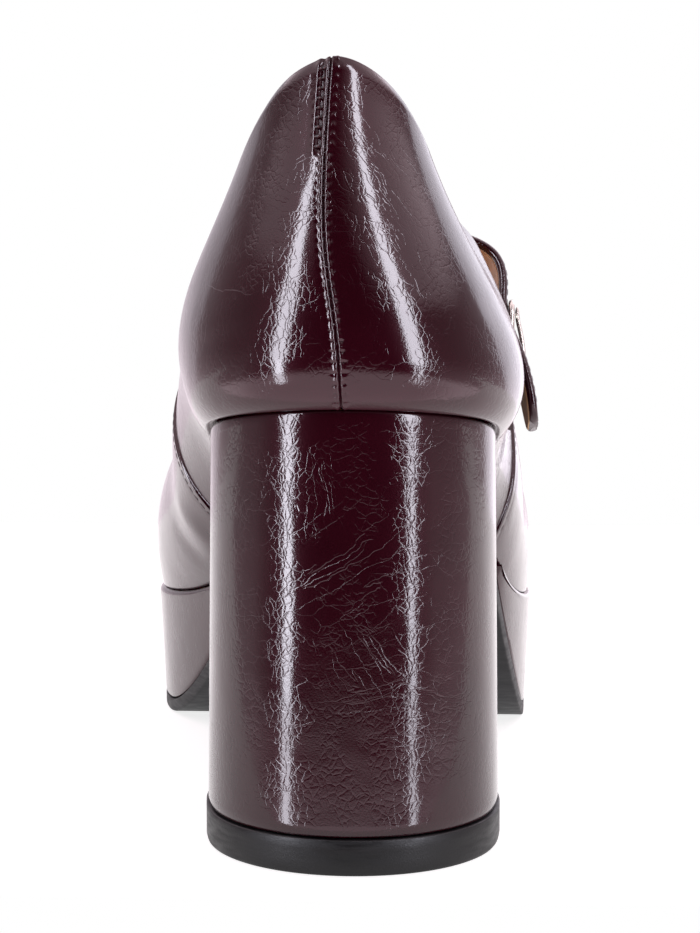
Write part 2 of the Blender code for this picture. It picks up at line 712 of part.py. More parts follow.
def make_buckle_frame(material, shoe):
    """A round-cornered frame of wire: its upper bar over the strap, its lower bar under it."""
    half_across = STRAP_WIDTH / 2 + GAP + BUCKLE_WIRE / 2
    half_up = (BUCKLE_UPPER_BAR - BUCKLE_LOWER_BAR) / 2
    outline = []
    for quarter, (side, end) in enumerate(((1, 1), (-1, 1), (-1, -1), (1, -1))):
        turn = np.radians(np.linspace(0, 90, 5)) + quarter * math.pi / 2
        across = side * (half_across - BUCKLE_CORNER) + BUCKLE_CORNER * np.cos(turn)
        up = end * (half_up - BUCKLE_CORNER) + BUCKLE_CORNER * np.sin(turn)
        outline.append(np.stack([across, up], axis=1))
    across, up = np.concatenate(outline).T
    share = (up + half_up) / (2 * half_up)
    sideways = lower_bar_place() + (upper_bar_place() - lower_bar_place()) * share
    path = on_strap(sideways, (BUCKLE_UPPER_BAR + BUCKLE_LOWER_BAR) / 2 + up, across)
    tangent = np.roll(path, -1, axis=0) - np.roll(path, 1, axis=0)
    upper_bar = on_strap(upper_bar_place(), BUCKLE_UPPER_BAR, 0.0)
    lower_bar = on_strap(lower_bar_place(), BUCKLE_LOWER_BAR, 0.0)
    rings = tube(path, tangent, np.cross(STRAP_ACROSS, upper_bar - lower_bar), BUCKLE_WIRE)
    return make_object("buckle_frame", *skin(rings, closed_along=True), material, shoe)


def make_prong(material, shoe):
    """The prong: from its hole in the strap over the upper bar."""
    foot_up = BUCKLE_LOWER_BAR + PRONG_FOOT
    outer_half = STRAP_LINE[STRAP_LINE[:, 0] > 0]
    rising = outer_half[np.argsort(outer_half[:, 1])]
    strap = np.interp(foot_up, rising[:, 1], rising[:, 0]) + STRAP_THICKNESS / 2
    foot = strap + GAP + PRONG_WIRE / 2 + PRONG_BOW
    head = upper_bar_place() + BUCKLE_WIRE / 2 + GAP + PRONG_WIRE / 2
    line = (
        (foot, foot_up),
        ((foot + head + PRONG_BOW) / 2, (foot_up + BUCKLE_UPPER_BAR) / 2),
        (head, BUCKLE_UPPER_BAR),
        (head, BUCKLE_UPPER_BAR + PRONG_TIP),
    )
    sideways, up = through(line, 9).T
    path = on_strap(sideways, up, 0.0)
    rings = tube(path, np.gradient(path, axis=0), STRAP_ACROSS, PRONG_WIRE)
    return make_object("buckle_prong", *capped(rings), material, shoe)


def stand_on_origin(shoe):
    """Moves the shoe so that the middle of its box's bottom lies at the origin."""
    bpy.context.view_layer.update()
    corners = []
    for solid in shoe.children:
        corners += [solid.matrix_world @ Vector(corner) for corner in solid.bound_box]
    low = np.min(corners, axis=0)
    high = np.max(corners, axis=0)
    shoe.location = (-(low[0] + high[0]) / 2, -(low[1] + high[1]) / 2, -low[2])


# Colours are linear red, green and blue
BURGUNDY = (0.060, 0.010, 0.018)
TAN = (0.45, 0.27, 0.15)
BLACK = (0.012, 0.012, 0.014)
NICKEL = (0.62, 0.61, 0.58)


def main():
    shoe = bpy.data.objects.new("shoe", None)
    bpy.context.scene.collection.objects.link(shoe)
    make_upper(make_material("upper_patent_leather", BURGUNDY, 0.18), shoe)
    make_insole(make_material("insole_lining_leather", TAN, 0.6), shoe)
    make_platform(make_material("platform_patent_leather", BURGUNDY, 0.18), shoe)
    make_outsole(make_material("outsole_rubber", BLACK, 0.6), shoe)
    make_heel(make_material("heel_patent_leather", BURGUNDY, 0.18), shoe)
    make_top_lift(make_material("top_lift_rubber", BLACK, 0.5), shoe)
    make_strap(make_material("strap_patent_leather", BURGUNDY, 0.18), shoe)
    make_tab(make_material("tab_patent_leather", BURGUNDY, 0.18), shoe)
    make_buckle_frame(make_material("buckle_frame_nickel", NICKEL, 0.15, 1.0), shoe)
    make_prong(make_material("buckle_prong_nickel", NICKEL, 0.15, 1.0), shoe)
    stand_on_origin(shoe)


main()
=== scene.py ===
"""Platform mary jane, right shoe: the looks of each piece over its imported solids, then floor and light.

Shapes are worked out in the shoe's own sizes with the heel's back near y = 0, and moved to the model's origin
when a piece is made.
"""

import math
from collections import namedtuple
from functools import partial

import bmesh
import bpy
import numpy as np
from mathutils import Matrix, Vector
from mathutils.bvhtree import BVHTree


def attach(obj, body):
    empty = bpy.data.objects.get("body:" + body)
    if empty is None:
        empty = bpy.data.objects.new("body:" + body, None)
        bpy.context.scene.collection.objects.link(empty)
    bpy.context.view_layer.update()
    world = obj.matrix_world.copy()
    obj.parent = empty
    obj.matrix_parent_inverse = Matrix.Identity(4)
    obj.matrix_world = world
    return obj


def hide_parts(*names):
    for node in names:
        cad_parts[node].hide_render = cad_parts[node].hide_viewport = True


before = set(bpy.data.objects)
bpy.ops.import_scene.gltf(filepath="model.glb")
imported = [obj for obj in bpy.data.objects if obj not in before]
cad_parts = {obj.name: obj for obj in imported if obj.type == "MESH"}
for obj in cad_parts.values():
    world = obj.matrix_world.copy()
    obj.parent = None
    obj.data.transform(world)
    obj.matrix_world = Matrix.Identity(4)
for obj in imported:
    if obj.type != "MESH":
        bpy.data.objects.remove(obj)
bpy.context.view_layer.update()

# Upper
# Two quarters and a vamp of crinkled patent leather, pulled over the last, sewn together up the back and
# folded in along the collar. The vamp's cut edge lies over the quarters and is sewn down on them.
MM = 0.001
ORIGIN = np.array([8.4505, -113.5820, 0.0]) * MM
LENGTH = 229.5 * MM
HEEL_HEIGHT = 80.0 * MM
PLATFORM_HEIGHT = 30.0 * MM
GAP = 0.3 * MM
WALL = 2.0 * MM
LEATHER = 1.15 * MM
VAMP_STEP = 0.5 * MM
VAMP_STEP_FADE = 26.0 * MM
VAMP_SECTION = 7
VAMP_SET_BACK = 5.5 * MM
SEAM_STITCH = 1.70 * MM
SEAM_ROW = 1.25 * MM
SEAM_ROW_END = 17.5 * MM
COLLAR_FOLD = 2.1 * MM
VAMP_ROW = 1.7 * MM
# The seam's bend to the inner side, at heights up from the sole
SEAM_UP = np.array([0.0, 14.0, 28.0, 45.0, 61.0]) * MM
SEAM_BEND = np.array([0.9, 1.1, 2.2, 1.7, 0.5]) * MM

# The sections of the last from heel to toe, in millimetres: the foot at the sole, the top at the opening,
# and two handles between them. "in" is the inner side of the foot and "out" the outer side.
Section = namedtuple(
    "Section",
    "foot_along foot_in foot_out top_along top_up top_in top_out"
    " low_in low_out low_up high_in high_out high_down",
)
SECTIONS = [Section(*row) for row in (
    (2, 0, 0, 8, 58.5, 2.6, -2.6, 13.8, 13.8, 8, 2.5, 2.5, 20),
    (6.4, 14.3, 14.3, 14.9, 53.5, 13.5, 8.4, 13, 14, 8, 4.2, 4.2, 20),
    (16.4, 22.6, 22.6, 26.2, 45, 19.6, 13.6, 11, 11.5, 8, 7.6, 8, 20),
    (27, 25, 25, 34.8, 38, 22.6, 15.9, 9.6, 12, 8, 11.6, 11.5, 20),
    (45, 24.8, 25.2, 47, 31.5, 26.6, 22.2, 9.6, 12, 9, 11.2, 10, 19),
    (61, 23.6, 25.8, 68, 25, 29.9, 26.8, 11.2, 9.6, 13, 10, 6, 17),
    (76, 22.6, 27.5, 92, 18.5, 31.8, 29.8, 17, 7.2, 14, 10, 3.4, 15),
    (90, 24.5, 31, 117, 8, 32.5, 30.5, 20.5, 9, 15, 11, 8, 12),
    (112, 35, 38.5, 130, 0.5, 28.5, 28, 14, 5, 17, 16, 12, 7),
    (138, 45.5, 44, 139.5, -4, 22, 21.5, 5, 2.5, 20, 22, 20, 3),
    (165, 45, 44, 145.5, -6.5, 14.5, 14.5, 5, 4, 22, 22, 21, 2),
    (190, 39, 38.5, 148.3, -7.7, 9, 9, 5, 5, 23, 25, 25, 3),
    (209, 29.5, 29.5, 149.4, -8.2, 5.5, 5.5, 4.5, 4.5, 23, 31, 31, 5),
    (223.5, 15.5, 15.5, 149.9, -8.4, 2.6, 2.6, 3.5, 3.5, 23, 37, 37, 7),
    (229.5, 0, 0, 150, -8.5, 0, 0, 3, 3, 23, 40, 40, 8),
)]
# Side view of the last's bottom, as a share of the climb to the heel, and the middle line's swing inwards
Profile = namedtuple("Profile", "along climb swing")
PROFILE = [Profile(*row) for row in (
    (-10, 1.034, 0),
    (0, 1.000, 0),
    (13, 0.954, 0.1),
    (26, 0.905, 0.3),
    (45, 0.805, 0.9),
    (65, 0.630, 1.8),
    (80, 0.430, 2.6),
    (90, 0.283, 3.2),
    (100, 0.160, 3.9),
    (110, 0.082, 4.7),
    (121, 0.034, 5.6),
    (140, 0.004, 7),
    (160, 0.000, 8.2),
    (185, 0.010, 9.2),
    (205, 0.045, 9.8),
    (236, 0.135, 10.4),
)]
# Creases pressed into the upper by lasting and wear: where each starts and ends, measured round from the
# back seam (inner side positive) and up from the sole, with its half width and its depth, in millimetres
Crease = namedtuple("Crease", "start_round start_up end_round end_up width depth")
CREASES = [Crease(*row) for row in (
    (13, 15, 44, 13, 2.2, 0.10),
    (16, 19, 40, 17.5, 2.4, -0.08),
    (-17, 12, -48, 15, 2.4, 0.08),
    (-30, 20, -58, 25, 2.6, 0.10),
    (24, 26, 52, 23, 3, 0.09),
    (118, 6, 128, 22, 3.4, -0.40),
    (126, 5, 138, 18, 3, 0.30),
    (-112, 6, -124, 22, 3.2, -0.30),
)]


def spline(knots, values, at, closed=False):
    """A cubic curve with smooth bends through values at knots, natural at its ends or joined up."""
    knots = np.asarray(knots, float)
    values = np.asarray(values, float)
    count = len(knots)
    step = np.diff(knots)
    slope = np.diff(values, axis=0) / step.reshape(-1, *[1] * (values.ndim - 1))
    matrix = np.zeros((count, count))
    right = np.zeros_like(values)
    for row in range(1, count - 1):
        matrix[row, row - 1 : row + 2] = step[row - 1], 2 * (step[row - 1] + step[row]), step[row]
        right[row] = 6 * (slope[row] - slope[row - 1])
    if closed:
        matrix[0, 0], matrix[0, -1] = 1, -1
        matrix[-1, 0], matrix[-1, 1] = 2 * step[0], step[0]
        matrix[-1, -2], matrix[-1, -1] = step[-1], 2 * step[-1]
        right[-1] = 6 * (slope[0] - slope[-1])
    else:
        matrix[0, 0] = matrix[-1, -1] = 1
    bend = np.linalg.solve(matrix, right.reshape(count, -1)).reshape(values.shape)
    at = np.asarray(at, float)
    cell = np.clip(np.searchsorted(knots, at) - 1, 0, count - 2)
    width = step[cell]
    before = (knots[cell + 1] - at) / width
    after = (at - knots[cell]) / width
    if values.ndim > 1:
        width, before, after = (x[..., None] for x in (width, before, after))
    flat = before * values[cell] + after * values[cell + 1]
    curve = (before**3 - before) * bend[cell] + (after**3 - after) * bend[cell + 1]
    return flat + curve * width**2 / 6


def column(table, name):
    return np.array([getattr(row, name) for row in table]) * MM


def bottom_of_last(along):
    """Height of the last's bottom edge: the platform plus a share of the climb to the heel."""
    climb = spline(column(PROFILE, "along"), [row.climb for row in PROFILE], along)
    return PLATFORM_HEIGHT + (HEEL_HEIGHT - PLATFORM_HEIGHT) * climb


def ring_of(inner, outer, both):
    """A ring from the table's inner column, back to toe, and its outer column, toe to back."""
    inner, outer, both = (column(SECTIONS, name) for name in (inner, outer, both))
    across = np.concatenate([-inner, outer[-2::-1]])
    across[-1] = across[0]
    return np.stack([across, np.concatenate([both, both[-2::-1]])], axis=1)


FOOT_RING = ring_of("foot_in", "foot_out", "foot_along")
TOP_RING = ring_of("top_in", "top_out", "top_along")
RING_PLACE = np.concatenate([[0.0], np.cumsum(np.linalg.norm(np.diff(FOOT_RING, axis=0), axis=1))])
RING_LENGTH = RING_PLACE[-1]
VAMP_INNER_PLACE = RING_PLACE[VAMP_SECTION] - VAMP_SET_BACK
VAMP_OUTER_PLACE = RING_PLACE[len(RING_PLACE) - 1 - VAMP_SECTION] + VAMP_SET_BACK


def around(inner, outer, place):
    """A column of the table at a place round the ring, back by the inner side to the toe and home."""
    ring = np.concatenate([column(SECTIONS, inner), column(SECTIONS, outer)[-2::-1]])
    return spline(RING_PLACE, ring, place, closed=True)


def on_plan(ring, place):
    """A ring's plan point at a place, swung inwards with the last's middle line."""
    plan = spline(RING_PLACE, ring, place, closed=True)
    swing = spline(column(PROFILE, "along"), column(PROFILE, "swing"), plan[..., 1])
    return np.stack([plan[..., 0] - swing, plan[..., 1]], axis=-1)


def foot_plan(place):
    """The last's bottom edge in plan, and the direction out of it: square to a short chord."""
    reach = 0.2 * MM
    ahead, behind = (on_plan(FOOT_RING, (place + way) % RING_LENGTH) for way in (reach, -reach))
    chord = unit(ahead - behind)
    return on_plan(FOOT_RING, place), np.stack([-chord[..., 1], chord[..., 0]], axis=-1)


def wall_curve(place, height):
    """The bare wall: at each place a cubic from foot to top, bowed by a low and a high handle."""
    place, height = np.broadcast_arrays(place, height)
    foot, outward = foot_plan(place)
    top = on_plan(TOP_RING, place)
    foot_up = bottom_of_last(foot[..., 1])
    top_up = HEEL_HEIGHT + around("top_up", "top_up", place)
    low = foot + outward * around("low_in", "low_out", place)[..., None]
    high = top + outward * around("high_in", "high_out", place)[..., None]
    low_up = foot_up + around("low_up", "low_up", place)
    high_up = top_up - around("high_down", "high_down", place)
    knots = [
        np.concatenate([plan, up[..., None]], axis=-1)
        for plan, up in ((foot, foot_up), (low, low_up), (high, high_up), (top, top_up))
    ]
    t = height[..., None]
    weights = ((1 - t) ** 3, 3 * (1 - t) ** 2 * t, 3 * (1 - t) * t**2, t**3)
    return sum(weight * knot for weight, knot in zip(weights, knots))


def unit(vectors):
    return vectors / np.linalg.norm(vectors, axis=-1, keepdims=True)


def wall_frame(place, height):
    """A point of the bare wall, its outward normal, and its directions round and up, from short chords."""
    place, height = np.broadcast_arrays(np.asarray(place, float), np.asarray(height, float))
    reach, step = 0.1 * MM, 0.002
    ahead = wall_curve((place + reach) % RING_LENGTH, height)
    behind = wall_curve((place - reach) % RING_LENGTH, height)
    above = wall_curve(place, np.minimum(height + step, 1))
    below = wall_curve(place, np.maximum(height - step, 0))
    onward, up = unit(ahead - behind), unit(above - below)
    return wall_curve(place, height), unit(np.cross(up, onward)), onward, up


def graded(length, spots, fine, coarse, reach):
    """Places from 0 to length, a fine step apart at the spots and a coarse step beyond their reach."""
    at = np.linspace(0, length, 20001)
    away = np.min([np.abs(at - spot) for spot in spots], axis=0)
    step = fine + (coarse - fine) * np.clip(away / reach, 0, 1)
    count = np.concatenate([[0.0], np.cumsum(np.diff(at) / (step[1:] + step[:-1]) * 2)])
    return np.interp(np.linspace(0, count[-1], int(count[-1]) + 2), count, at)


def ease(value, low, high):
    """A smooth step from 0 at low to 1 at high."""
    share = np.clip((value - low) / (high - low), 0, 1)
    return share**2 * (3 - 2 * share)


def hump(value, middle, width):
    """A bell of height 1 at the middle, fallen to a third a width away."""
    return np.exp(-(((value - middle) / width) ** 2))


def length_along(points, axis):
    """Distance from the first point along an axis of a grid of points."""
    steps = np.linalg.norm(np.diff(points, axis=axis), axis=-1)
    start = np.zeros_like(np.take(steps, [0], axis=axis))
    return np.concatenate([start, np.cumsum(steps, axis=axis)], axis=axis)


def upper_relief(bare, places):
    """How far the leather stands off the bare wall: a sum of bells and smooth steps across their own lines.

    They are the vamp's lapped and sewn edge, the back seam with its pulled stitches and the sewn channel
    beside its top, the counter's full foot, the collar's rounded edge, and the creases.
    """
    up = length_along(bare, 1)
    below = up[:, -1:] - up
    onward = length_along(bare, 0)
    lap = onward[-1] + np.linalg.norm(bare[-1] - bare[0], axis=-1)
    from_seam = np.where(onward > lap / 2, onward - lap, onward) - spline(SEAM_UP, SEAM_BEND, up)
    beside = np.abs(from_seam)
    inner_edge = np.argmin(np.abs(places - VAMP_INNER_PLACE))
    outer_edge = np.argmin(np.abs(places - VAMP_OUTER_PLACE))
    ahead = np.minimum(onward - onward[inner_edge], onward[outer_edge] - onward)
    fade = 1 - ease(ahead, 0, VAMP_STEP_FADE)
    total = VAMP_STEP * ease(ahead, -0.12 * MM, 0.12 * MM) * fade
    total -= 0.12 * MM * hump(ahead, -0.30 * MM, 0.22 * MM)
    total -= 0.05 * MM * hump(ahead, VAMP_ROW, 0.40 * MM)
    pull = 0.5 + 0.5 * np.cos(2 * np.pi * below / SEAM_STITCH)
    rows = 1 - ease(below, SEAM_ROW_END - 2 * MM, SEAM_ROW_END)
    inner_side = np.clip(from_seam, 0, 3.5 * MM) * (1 - ease(from_seam, 3 * MM, 10 * MM))
    total -= 0.10 * inner_side * (1 - ease(below, 14 * MM, 24 * MM))
    total -= 0.48 * MM * hump(beside, 0, 0.15 * MM)
    total += 0.16 * MM * (1 - 0.8 * pull**3) * (1 - 0.8 * rows) * hump(beside, 0.62 * MM, 0.26 * MM)
    total -= 0.24 * MM * (1 - rows) * pull**9 * hump(beside, 0.90 * MM, 0.42 * MM)
    total -= 0.36 * MM * rows * hump(from_seam, SEAM_ROW, 0.48 * MM)
    total += 0.15 * MM * rows * (1 - 0.4 * pull) * hump(from_seam, SEAM_ROW + 0.95 * MM, 0.50 * MM)
    total += 0.15 * MM * rows * pull**2 * hump(from_seam, -1.2 * MM, 0.32 * MM)
    back = 1 - ease(beside, 46 * MM, 70 * MM)
    total += 1.30 * MM * hump(up, 2 * MM, 7 * MM) * back
    total -= 1.10 * MM * hump(up, 0, 0.8 * MM) * back
    total -= 0.50 * MM * np.clip(1 - below / COLLAR_FOLD, 0, 1) ** 2
    place_now = np.stack([from_seam, up], axis=-1) / MM
    for crease in CREASES:
        start = np.array([crease.start_round, crease.start_up])
        run = np.array([crease.end_round, crease.end_up]) - start
        share = np.clip((place_now - start) @ run / (run @ run), 0, 1)
        off = np.linalg.norm(place_now - start - share[..., None] * run, axis=-1)
        strength = np.sin(np.pi * np.clip(share, 0.04, 0.96)) ** 0.7
        total -= crease.depth * MM * strength * hump(off, 0, crease.width)
    return total


def ring_faces(count, size, closed=False):
    """Quads between neighbouring rings of equal size."""
    ring = np.arange(count if closed else count - 1)[:, None]
    corner = np.arange(size)[None, :]
    here, there = ring * size, (ring + 1) % count * size
    beside = (corner + 1) % size
    return np.stack([here + corner, here + beside, there + beside, there + corner], axis=-1).reshape(-1, 4)


def make_piece(name, points, faces, material, slot, *nodes, sharp=40):
    """Turns points and faces into a smooth piece that rides on the shoe and stands for its solids."""
    mesh = bpy.data.meshes.new(name)
    mesh.from_pydata((np.reshape(points, (-1, 3)) + ORIGIN).tolist(), [], [list(f) for f in faces])
    sheet = bmesh.new()
    sheet.from_mesh(mesh)
    bmesh.ops.recalc_face_normals(sheet, faces=sheet.faces)
    sheet.to_mesh(mesh)
    sheet.free()
    mesh.shade_smooth()
    mesh.set_sharp_from_angle(angle=math.radians(sharp))
    mesh.materials.append(material)
    piece = bpy.data.objects.new(name, mesh)
    bpy.context.scene.collection.objects.link(piece)
    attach(piece, "root")
    if nodes:
        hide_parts(*nodes)
    return piece


def colour(text):
    """A linear colour from an sRGB hex value."""
    value = np.array([int(text[k : k + 2], 16) for k in (1, 3, 5)]) / 255
    linear = np.where(value <= 0.04045, value / 12.92, ((value + 0.055) / 1.055) ** 2.4)
    return (*linear.tolist(), 1.0)


def node(tree, kind, inputs=None, **settings):
    """Adds a node with its settings; an input takes a value, an output or another node's first output."""
    made = tree.nodes.new("ShaderNode" + kind)
    for name, value in settings.items():
        setattr(made, name, value)
    for name, value in (inputs or {}).items():
        if isinstance(value, bpy.types.Node):
            value = value.outputs[0]
        if isinstance(value, bpy.types.NodeSocket):
            tree.links.new(value, made.inputs[name])
        else:
            made.inputs[name].default_value = value
    return made


def new_material(name):
    """An empty material, the function that adds its nodes, and its object coordinates."""
    material = bpy.data.materials.new(name)
    material.use_nodes = True
    material.node_tree.nodes.clear()
    add = partial(node, material.node_tree)
    return material, add, add("TexCoord").outputs["Object"]


def finish_material(add, **sockets):
    """Ends a material with one Principled shader; an underscore in a name stands for a space."""
    shader = add("BsdfPrincipled", {name.replace("_", " "): value for name, value in sockets.items()})
    add("OutputMaterial", {"Surface": shader})


# Crinkled patent leather: a dark stained hide under a clear gloss coat that has crackled all over and
# wrinkled where it was bent. The coat mirrors the room; its wrinkles catch thin light lines on the dark.
Web = namedtuple("Web", "cell line depth patch bare stretch")
WEBS = (
    Web(cell=1.3, line=0.30, depth=0.0065, patch=5.0, bare=0.39, stretch=(1.0, 1.0, 0.85)),
    Web(cell=1.3, line=0.070, depth=0.0070, patch=5.0, bare=0.42, stretch=(1.0, 1.0, 0.85)),
    Web(cell=3.4, line=0.07, depth=0.010, patch=9.0, bare=0.53, stretch=(0.8, 0.8, 1.2)),
    Web(cell=8.5, line=0.07, depth=0.013, patch=15.0, bare=0.53, stretch=(0.6, 0.6, 1.3)),
)
# Bundles of wrinkles, in millimetres in the model's frame: the middle of each, its reach, the slope of its
# wrinkles as seen from behind, their spacing and their depth
Bundle = namedtuple("Bundle", "x y z reach turn spacing depth")
BUNDLES = [Bundle(*row) for row in (
    (12, -108, 117, 13, 58, 2, 0.020),
    (17.5, -108, 103, 11, 66, 2, 0.018),
    (0, -108, 112, 7, 12, 1.8, 0.018),
    (-2, -108, 97, 11, 95, 2.2, 0.014),
    (9, -112, 51, 15, -32, 4.6, 0.022),
    (11, -112, 37, 9, 58, 3.6, 0.020),
    (3, -112, 65, 9, 82, 3.4, 0.018),
    (14, -112, 29, 12, -8, 4, 0.020),
    (24, -106, 26, 12, 20, 4, 0.020),
    (-14, -104, 64, 9, -58, 3, 0.020),
    (28, -98, 85, 9, -30, 1.8, 0.020),
    (-12, -92, 126, 12, -60, 2.2, 0.014),
    (-20, -80, 92, 18, 8, 2.8, 0.016),
    (38, -60, 88, 18, -18, 2.8, 0.016),
    (-34, 20, 50, 22, 30, 3.2, 0.018),
    (34, 22, 50, 22, -30, 3.2, 0.018),
)]


def patent_leather():
    """Height is a fine grain less webs of crackle shown in patches, less bundles of drawn-out wrinkles."""
    material, add, place = new_material("crinkled_patent_leather")

    def less(before, line, shown, depth):
        cut = add("Math", {0: line, 1: shown}, operation="MULTIPLY")
        return add("Math", {0: cut, 1: -depth, 2: before}, operation="MULTIPLY_ADD")

    drift = add("TexNoise", {"Vector": place, "Scale": 1 / (5 * MM), "Detail": 3.0})
    shift = add("VectorMath", {0: drift.outputs["Color"], 1: (0.5, 0.5, 0.5)}, operation="SUBTRACT")
    shift = add("VectorMath", {0: shift, "Scale": 3.0 * MM}, operation="SCALE")
    warped = add("VectorMath", {0: place, 1: shift}, operation="ADD")
    fine = add("TexNoise", {"Vector": place, "Scale": 1 / (0.3 * MM), "Detail": 1.0})
    wave = add("TexNoise", {"Vector": place, "Scale": 1 / (9 * MM), "Detail": 1.0})
    height = add("Math", {0: fine, 1: 0.0095}, operation="MULTIPLY")
    height = add("Math", {0: wave, 1: 0.10, 2: height}, operation="MULTIPLY_ADD")
    for web in WEBS:
        turned = add("VectorMath", {0: warped, 1: web.stretch}, operation="MULTIPLY")
        edge = add("TexVoronoi", {"Vector": turned, "Scale": 1 / (web.cell * MM)}, feature="DISTANCE_TO_EDGE")
        line = add("MapRange", {"Value": edge, "From Max": web.line / web.cell, "To Min": 1.0, "To Max": 0.0},
                   interpolation_type="SMOOTHSTEP")
        patch = add("TexNoise", {"Vector": turned, "Scale": 1 / (web.patch * MM), "Detail": 2.0})
        shown = add("MapRange", {"Value": patch, "From Min": web.bare, "From Max": web.bare + 0.12},
                    interpolation_type="SMOOTHSTEP")
        height = less(height, line, shown, web.depth)
    for bundle in BUNDLES:
        middle = (bundle.x * MM, bundle.y * MM, bundle.z * MM)
        long, close = bundle.spacing * 7 * MM, bundle.spacing * MM
        local = add("Mapping", {"Vector": warped, "Location": middle, "Scale": (long, long, close),
                                "Rotation": (0, math.radians(bundle.turn), 0)}, vector_type="TEXTURE")
        wander = add("TexNoise", {"Vector": local, "Scale": 1.0, "Detail": 2.0})
        off = add("Math", {0: wander, 1: 0.5}, operation="SUBTRACT")
        off = add("Math", {0: off}, operation="ABSOLUTE")
        line = add("MapRange", {"Value": off, "From Max": 0.032 / bundle.spacing, "To Min": 1.0,
                                "To Max": 0.0}, interpolation_type="SMOOTHSTEP")
        away = add("VectorMath", {0: warped, 1: middle}, operation="DISTANCE").outputs["Value"]
        shown = add("MapRange", {"Value": away, "From Min": bundle.reach * 0.35 * MM,
                                 "From Max": bundle.reach * MM, "To Min": 1.0, "To Max": 0.0})
        height = less(height, line, shown, bundle.depth)
    bump = add("Bump", {"Height": height, "Distance": MM, "Strength": 1.0})
    cloud = add("TexNoise", {"Vector": place, "Scale": 1 / (22 * MM), "Detail": 4.0})
    stain = add("ValToRGB", {"Fac": cloud})
    for stop, share, shade in zip(stain.color_ramp.elements, (0.32, 0.72), ("#2a0510", "#340916")):
        stop.position, stop.color = share, colour(shade)
    finish_material(
        add, Base_Color=stain, Roughness=0.30, Normal=bump,
        Specular_IOR_Level=0.06, Specular_Tint=colour("#ff8fac"),
        Coat_Weight=1.0, Coat_Roughness=0.095, Coat_IOR=1.5, Coat_Normal=bump,
    )
    return material


PATENT = patent_leather()

vamp_edges = [VAMP_INNER_PLACE, VAMP_OUTER_PLACE]
beside_seam = np.arange(-1.4, 5.0, 0.7) * MM % RING_LENGTH
close_spots = [0.0, RING_LENGTH, *beside_seam, *vamp_edges]
upper_places = graded(RING_LENGTH, close_spots, 0.13 * MM, 2.0 * MM, 14 * MM)[:-1]
upper_places = np.sort(np.concatenate([upper_places, vamp_edges]))
upper_heights = graded(1.0, [1.0], 0.0034, 0.0055, 0.55)
bare_wall, wall_normal, _, wall_up = wall_frame(upper_places[:, None], upper_heights[None, :])
relief = upper_relief(bare_wall, upper_places)
outer_wall = bare_wall + wall_normal * relief[..., None]
_, foot_outward = foot_plan(upper_places)
inward = wall_normal.copy()
inward[:, 0] = np.concatenate([foot_outward, np.zeros((len(foot_outward), 1))], axis=1)
inner_rows = np.linspace(len(upper_heights) - 1, 0, 16).round().astype(int)
turn = np.linspace(0, np.pi, 8)[1:-1]
rim_outer = outer_wall[:, -1]
rim_inner = bare_wall[:, -1] - wall_normal[:, -1] * LEATHER
rim_middle, rim_half = (rim_outer + rim_inner) / 2, (rim_outer - rim_inner) / 2
rim_up = wall_up[:, -1] * np.linalg.norm(rim_half, axis=-1, keepdims=True)
rim = rim_middle[None] + np.cos(turn)[:, None, None] * rim_half + np.sin(turn)[:, None, None] * rim_up
inside = (bare_wall - inward * LEATHER)[:, inner_rows]
turned_in = bare_wall[:, :1] - inward[:, :1] * 0.5 * MM - np.array([0, 0, 0.25 * MM])
upper_rings = np.concatenate([turned_in, outer_wall], axis=1).swapaxes(0, 1)
upper_rings = np.concatenate([upper_rings, rim, inside.swapaxes(0, 1)])
upper_faces = ring_faces(len(upper_rings), len(upper_places), closed=True)
make_piece("upper_leather", upper_rings, upper_faces, PATENT, "upper", "upper", sharp=55)


# Lining
# Tan lining leather glued behind the patent leather, trimmed a little below the folded collar.
LINING_TOP = 0.982


def plain_leather(name, light, dark, roughness):
    """Undyed leather: a matt, slightly cloudy face with a close pore grain."""
    material, add, place = new_material(name)
    cloud = add("TexNoise", {"Vector": place, "Scale": 1 / (14 * MM), "Detail": 5.0})
    tone = add("Mix", {0: cloud, 6: colour(light), 7: colour(dark)}, data_type="RGBA")
    pore = add("TexVoronoi", {"Vector": place, "Scale": 1 / (0.8 * MM)})
    fibre = add("TexNoise", {"Vector": place, "Scale": 1 / (0.5 * MM), "Detail": 3.0})
    height = add("Math", {0: fibre, 1: 0.5, 2: pore}, operation="MULTIPLY_ADD")
    bump = add("Bump", {"Height": height, "Distance": 0.03 * MM})
    finish_material(
        add, Base_Color=tone.outputs[2], Roughness=roughness, Specular_IOR_Level=0.35, Normal=bump,
    )
    return material


LINING = plain_leather("tan_lining_leather", "#dcb98f", "#c79e72", 0.55)


def shell(outer, inner):
    """Rings and faces of a closed sheet between an outer and an inner grid of places round and up."""
    rings = np.concatenate([outer.swapaxes(0, 1), inner[:, ::-1].swapaxes(0, 1)])
    return rings, ring_faces(len(rings), rings.shape[1], closed=True)


lining_rows = np.linspace(0, np.searchsorted(upper_heights, LINING_TOP), 34).round().astype(int)
glued = (bare_wall - inward * (LEATHER + 0.04 * MM))[::2, lining_rows]
worn_face = (bare_wall - inward * WALL)[::2, lining_rows]
make_piece("upper_lining", *shell(glued, worn_face), LINING, "upper", sharp=60)

# Insole
# A tan leather sock on a stiff board, filling the open bottom of the upper inside its wall.
INSOLE_THICKNESS = 3.0 * MM
EDGE_SAMPLES = 800
# Lines round the sock from its sewn edge out: in from the wall and down from its top, in millimetres
SOCK_LINES = ((3.2, 0), (2.6, 0.12), (2, 0), (0.7, 0), (0.35, 0.1), (0.1, 0.35), (0, 0.7), (0, 3))


